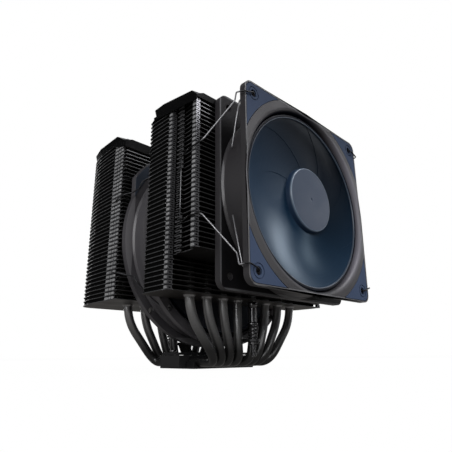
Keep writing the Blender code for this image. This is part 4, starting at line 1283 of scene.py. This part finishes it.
def front_pads():
    """Corner pads with a stepped ring round each hole."""
    for i, (name, side, over) in enumerate(CORNERS):
        x, z = side * FRONT.hole_offset, over * FRONT.hole_offset
        outer, step, hole = [circle(x, z, radius, 40) for radius in (4.3, 3.7, 2.35)]
        shape = layered([[turn(recess_loop(1.25, 4.9, 0.35), i), outer], [outer, step],
                         [step, hole]], [0.0, 0.5, 0.8, 1.2],
                        [{0, 2}, {0, 1, 2}, {0, 1, 2}], along_y(FRONT.y, FRONT.z))
        make(f"front_pad_{name}_rubber", shape, "pad",
             replaces="front_pad_" + name, bevel=0.18, bevel_over=50.0, sharp=40.0)


def ear_pads():
    """Rubber faces on both sides of the middle fan's two ears."""
    edge, outer_r, inner_r = MIDDLE.half - 0.6, EAR_R - 0.8, MIDDLE_ROUND_R - 0.2
    outer, inner = degrees(acos(edge / outer_r)), degrees(acos(edge / inner_r))
    ear = (arc(0.0, 0.0, outer_r, outer, 90.0 - outer, 12)
           + arc(0.0, 0.0, inner_r, 90.0 - inner, inner, 20))
    shape = Shape()
    for i in range(2):
        for near, far in ((20.4, 21.0), (-0.45, 0.0)):
            shape.join(extrude([turn(ear, i)], near, far, along_y(MIDDLE.y, MIDDLE.z)))
    make("middle_fan_ear_pads", shape, "ear_pad", sharp=40.0)


# -------------------------------------------------------------------- rotors
BLADES = 7
RING_DEPTH = 2.3    # radial thickness of the rotor ring
# hub profile: radius, depth
HUB = ([(0.0, 0.85), (0.6, 0.8), (1.0, 0.6), (1.3, 0.5), (1.45, 0.5), (10.0, 0.5),
        (19.75, 0.5), (19.9, 0.5)]
       + arc(19.9, 1.35, 0.85, -90.0, -20.0, 7)
       + [(20.9, 1.8), (21.15, 3.4), (21.4, 5.0), (HUB_R, 6.4), (HUB_R, 12.0),
          (HUB_R, 19.9), (HUB_R - 0.3, 20.2), (20.3, 20.2), (20.2, 20.0), (20.2, 5.0),
          (18.6, 3.2), (4.0, 3.2), (4.0, 7.0), (1.8, 7.0), (1.8, 3.0), (0.0, 3.0)])


def blade(index, fan):
    """Front faces meet the next blade with a fine step; the backs are pitched wedges."""
    rows, columns = 18, 14
    inner, outer = HUB_R - 0.6, fan.ring_radius - RING_DEPTH + 0.3
    step = 2 * pi / BLADES
    front, back = [], []
    for i in range(rows + 1):
        out = i / rows
        radius = inner + (outer - inner) * out
        reach = min(1.0, max(0.0, (radius - HUB_R) / (fan.ring_radius - 1.2 - HUB_R)))
        start = step * index + radians(34.0) * out ** 1.6
        dish = 4.1 + 6.6 * reach - 7.3 * reach * reach
        front_row, back_row = [], []
        for j in range(columns + 1):
            part = j / columns
            x, z = polar(radius, start - step * 1.012 * part, 0.0, fan.z)
            y = fan.y + dish + 0.16 * part
            thick = 0.7 + (5.6 + 1.6 * reach) * part ** 1.4
            if j == columns:
                thick -= 0.5
            front_row.append((x, y, z))
            back_row.append((x, y + thick, z))
        front.append(front_row)
        back.append(back_row)
    shape = Shape()
    for i in range(rows):
        k = i + 1
        for j in range(columns):
            shape.face([front[i][j], front[k][j], front[k][j + 1], front[i][j + 1]])
            shape.face([back[i][j], back[i][j + 1], back[k][j + 1], back[k][j]])
        shape.face([front[i][0], back[i][0], back[k][0], front[k][0]])
        shape.face([front[i][-1], front[k][-1], back[k][-1], back[i][-1]])
    for j in range(columns):
        k = j + 1
        shape.face([front[0][j], front[0][k], back[0][k], back[0][j]])
        shape.face([front[-1][j], back[-1][j], back[-1][k], front[-1][k]])
    return shape


def rotor(fan):
    centre = (0.0, fan.y, fan.z)
    outer = fan.ring_radius
    inner = outer - RING_DEPTH
    ring = [(inner, 3.7), (inner + 0.05, 3.2), (inner + 0.25, 2.9), (inner + 0.55, 2.8),
            (outer - 0.25, 2.85), (outer, 3.1), (outer, 8.0), (outer, 19.9),
            (outer - 0.2, 20.2), (inner + 0.2, 20.2), (inner, 19.9), (inner, 12.0)]
    blades = Shape()
    for i in range(BLADES):
        blades.join(blade(i, fan))
    for part, shape, sharp in (("hub", lathe(HUB, 120, centre, "y"), 30.0),
                               ("ring", lathe(ring, 160, centre, "y"), 30.0),
                               ("blades", blades, 50.0)):
        make(f"{fan.name}_fan_rotor_{part}", shape, f"{fan.name}_{part}",
             body=fan.name + "_rotor", sharp=sharp,
             replaces=fan.name + "_fan_rotor" if part == "hub" else None)


# ---------------------------------------------------------------- wire clips
# Half a clip: x, depth behind the fan's front face, distance above or below its axis.
def front_clip_half(knee):
    return [(58.0, 12.9, 20.7), (58.0, 8.2, 41.5), (57.2, 7.2, 48.8), (54.4, 6.9, 52.1),
            (52.6, 5.6, 52.5), (52.5, -0.4, 52.5), (54.2, -1.35, 51.7), (60.4, -1.25, 49.6),
            (61.9, 0.3, 49.8), (63.2, 3.8, 50.1), (62.3, 5.9, knee), (74.3, 19.2, 22.4),
            (75.2, 21.6, 21.0), (75.1, 30.2, 20.6), (72.4, 37.6, 20.9), (71.6, 41.4, 20.6),
            (71.5, 42.3, 19.0)]


MIDDLE_CLIP_HALF = [
    (MIDDLE.hole_offset, 0.5, MIDDLE.hole_offset),
    (MIDDLE.hole_offset, 5.2, MIDDLE.hole_offset),
    (MIDDLE.hole_offset + 1.1, 6.4, MIDDLE.hole_offset - 0.6),
    (58.0, 7.0, 44.0), (69.2, 9.0, 34.0), (69.6, 12.0, 30.0), (70.4, 18.4, 28.6),
    (75.1, 23.0, 27.0), (75.2, 30.8, 25.6), (74.7, 32.7, 25.2), (73.2, 33.1, 23.6)]


def clips(fan, upper, lower, bend_radius, wire_radius):
    for name, side in SIDES:
        points = [(side * x, fan.y + depth, fan.z + over) for x, depth, over in upper]
        points += [(side * x, fan.y + depth, fan.z - under)
                   for x, depth, under in reversed(lower)]
        clip = f"{fan.name}_fan_clip_{name}"
        make(clip + "_wire", sweep(bend(points, bend_radius, 5), wire_radius, 12),
             fan.name + "_wire", body=f"{fan.name}_clip_{name}",
             replaces=clip, sharp=60.0)


# ------------------------------------------------------------------ assembly
front_tower()
rear_tower()
collars()
cover("front_cover_folded", [(67.6, -72.5), (72.4, -69.8), (74.1, -40.0), (73.7, -30.6)],
      [(62.5, -63.6), (70.6, -62.6), (74.2, -38.0), (73.9, -28.4)], -SCREW_Y,
      "front_top_cover")
cover("rear_cover_folded",
      [(66.4, 6.0), (72.6, 10.0), (73.4, 42.0), (69.8, 57.6), (60.0, 65.0)],
      [(66.5, 18.8), (74.0, 20.4), (73.0, 47.0), (69.4, 61.4), (60.0, 65.8)], SCREW_Y,
      "rear_top_cover")
skirts()
for pipe in range(8):
    heat_pipe(pipe)
base_plate()
clamp_block()
crossbar()
crossbar_screws()
screws()
fan_frame(FRONT, "front_fan_frame_moulded")
fan_frame(MIDDLE, "middle_fan_frame_moulded")
front_pads()
ear_pads()
rotor(FRONT)
rotor(MIDDLE)
clips(FRONT, front_clip_half(knee=45.9), front_clip_half(knee=43.8), bend_radius=0.9,
      wire_radius=0.47)
clips(MIDDLE, MIDDLE_CLIP_HALF, MIDDLE_CLIP_HALF, bend_radius=1.0, wire_radius=0.45)

# CAD parts inside the fans keep their shape and take a worked finish
for part, finish in (("shaft", "steel"), ("bearing", "brass"), ("magnet_ring", "magnet"),
                     ("stator", "copper"), ("circuit_board", "board")):
    for fan in (FRONT, MIDDLE):
        mesh = frame["nodes"][f"{fan.name}_fan_{part}"].data
        mesh.materials.clear()
        mesh.materials.append(MATERIAL[finish])


# --------------------------------------------------------------------- stage
# From here on, lengths are in metres.
FLOOR_HALF, FLOOR_Z = 40, -0.0004
WHITE = (1.0, 1.0, 1.0)


def floor():
    """White to the camera, a dim warm glow to everything else."""
    mesh = bpy.data.meshes.new("floor")
    mesh.from_pydata([(x, y, FLOOR_Z) for x, y in rectangle(-FLOOR_HALF, FLOOR_HALF,
                                                            -FLOOR_HALF, FLOOR_HALF)],
                     [], [(0, 1, 2, 3)])
    thing = bpy.data.objects.new("floor", mesh)
    bpy.context.scene.collection.objects.link(thing)
    shader = Shader("floor_pale")
    white = shader.light_up("Emission", WHITE, strength=1.0)
    glow = shader.light_up("Emission", (1.0, 0.97, 0.94), strength=0.20)
    matt = shader.light_up("BsdfDiffuse", (0.9, 0.9, 0.9))
    seen = shader.mix_shaders(0.01, white, matt)    # a hint of real shadow
    shader.put(shader.output.inputs["Surface"],
               shader.mix_shaders(shader.camera_ray(), glow, seen))
    mesh.materials.append(shader.owner)


def world():
    """White behind the cooler, dim and cool as a light."""
    shader = Shader("studio", world=True)
    bpy.context.scene.world = shader.owner
    dim = shader.light_up("Background", (0.92, 0.96, 1.0), strength=0.11)
    white = shader.light_up("Background", WHITE, strength=1.0)
    shader.put(shader.output.inputs["Surface"],
               shader.mix_shaders(shader.camera_ray(), dim, white))


def area(name, direction, distance, size, power, colour=WHITE, target=(0.0, -0.03, 0.1)):
    """Square light, set off from its target in a direction and facing it."""
    light = bpy.data.lights.new(name, "AREA")
    light.shape = "RECTANGLE"
    light.size = size
    light.size_y = size
    light.energy = power
    light.color = colour
    thing = bpy.data.objects.new(name, light)
    away = Vector(direction).normalized()
    thing.location = Vector(target) + away * distance
    thing.rotation_mode = "QUATERNION"
    thing.rotation_quaternion = away.to_track_quat("Z", "Y")
    thing.visible_camera = False
    bpy.context.scene.collection.objects.link(thing)


def lights():
    fan, cool = (0.0, -0.098, 0.1), (0.97, 0.97, 1.0)
    area("dish_box", (0.42, -0.58, 0.70), distance=0.95, size=0.40, power=4.6, colour=cool,
         target=fan)
    area("side_box", (0.90, -0.42, 0.30), distance=0.95, size=0.30, power=0.7, colour=cool,
         target=fan)
    area("front_box", (-0.15, -0.93, 0.30), distance=1.0, size=0.30, power=2.0, target=fan)
    area("key_box", (-0.66, -0.68, 0.30), distance=1.1, size=0.40, power=3.6,
         target=(0.0, 0.0, 0.05))
    area("left_box", (-0.95, -0.10, 0.25), distance=1.0, size=0.6, power=3.0)
    area("top_box", (-0.1, 0.1, 1.0), distance=1.1, size=0.7, power=3.0)
    area("back_box", (0.25, 0.93, 0.35), distance=1.1, size=0.8, power=7.0)
    area("right_box", (0.95, 0.32, 0.30), distance=1.0, size=0.7, power=5.0)


def camera():
    """Low view from the front left, tilted slightly up."""
    view = bpy.data.cameras.new("photo_view")
    view.sensor_width = 36.0
    view.lens = 33.7216858
    view.clip_start = 0.01
    view.clip_end = 200.0
    thing = bpy.data.objects.new("photo_view", view)
    bpy.context.scene.collection.objects.link(thing)
    azimuth, elevation, roll = radians(-44.20565), radians(-17.15852), radians(0.39784)
    back = Vector((sin(azimuth) * cos(elevation), -cos(azimuth) * cos(elevation),
                   sin(elevation)))
    right = (-back).cross(Vector((0, 0, 1))).normalized()
    down = (-back).cross(right)
    rolled_right = right * cos(roll) + down * sin(roll)
    rolled_up = right * sin(roll) - down * cos(roll)
    turned = Matrix((rolled_right, rolled_up, back)).transposed().to_4x4()
    thing.matrix_world = Matrix.Translation((-0.213164, -0.239207, 0.007434)) @ turned
    bpy.context.scene.camera = thing
    bpy.context.scene.view_settings.view_transform = "Standard"


floor()
world()
lights()
camera()
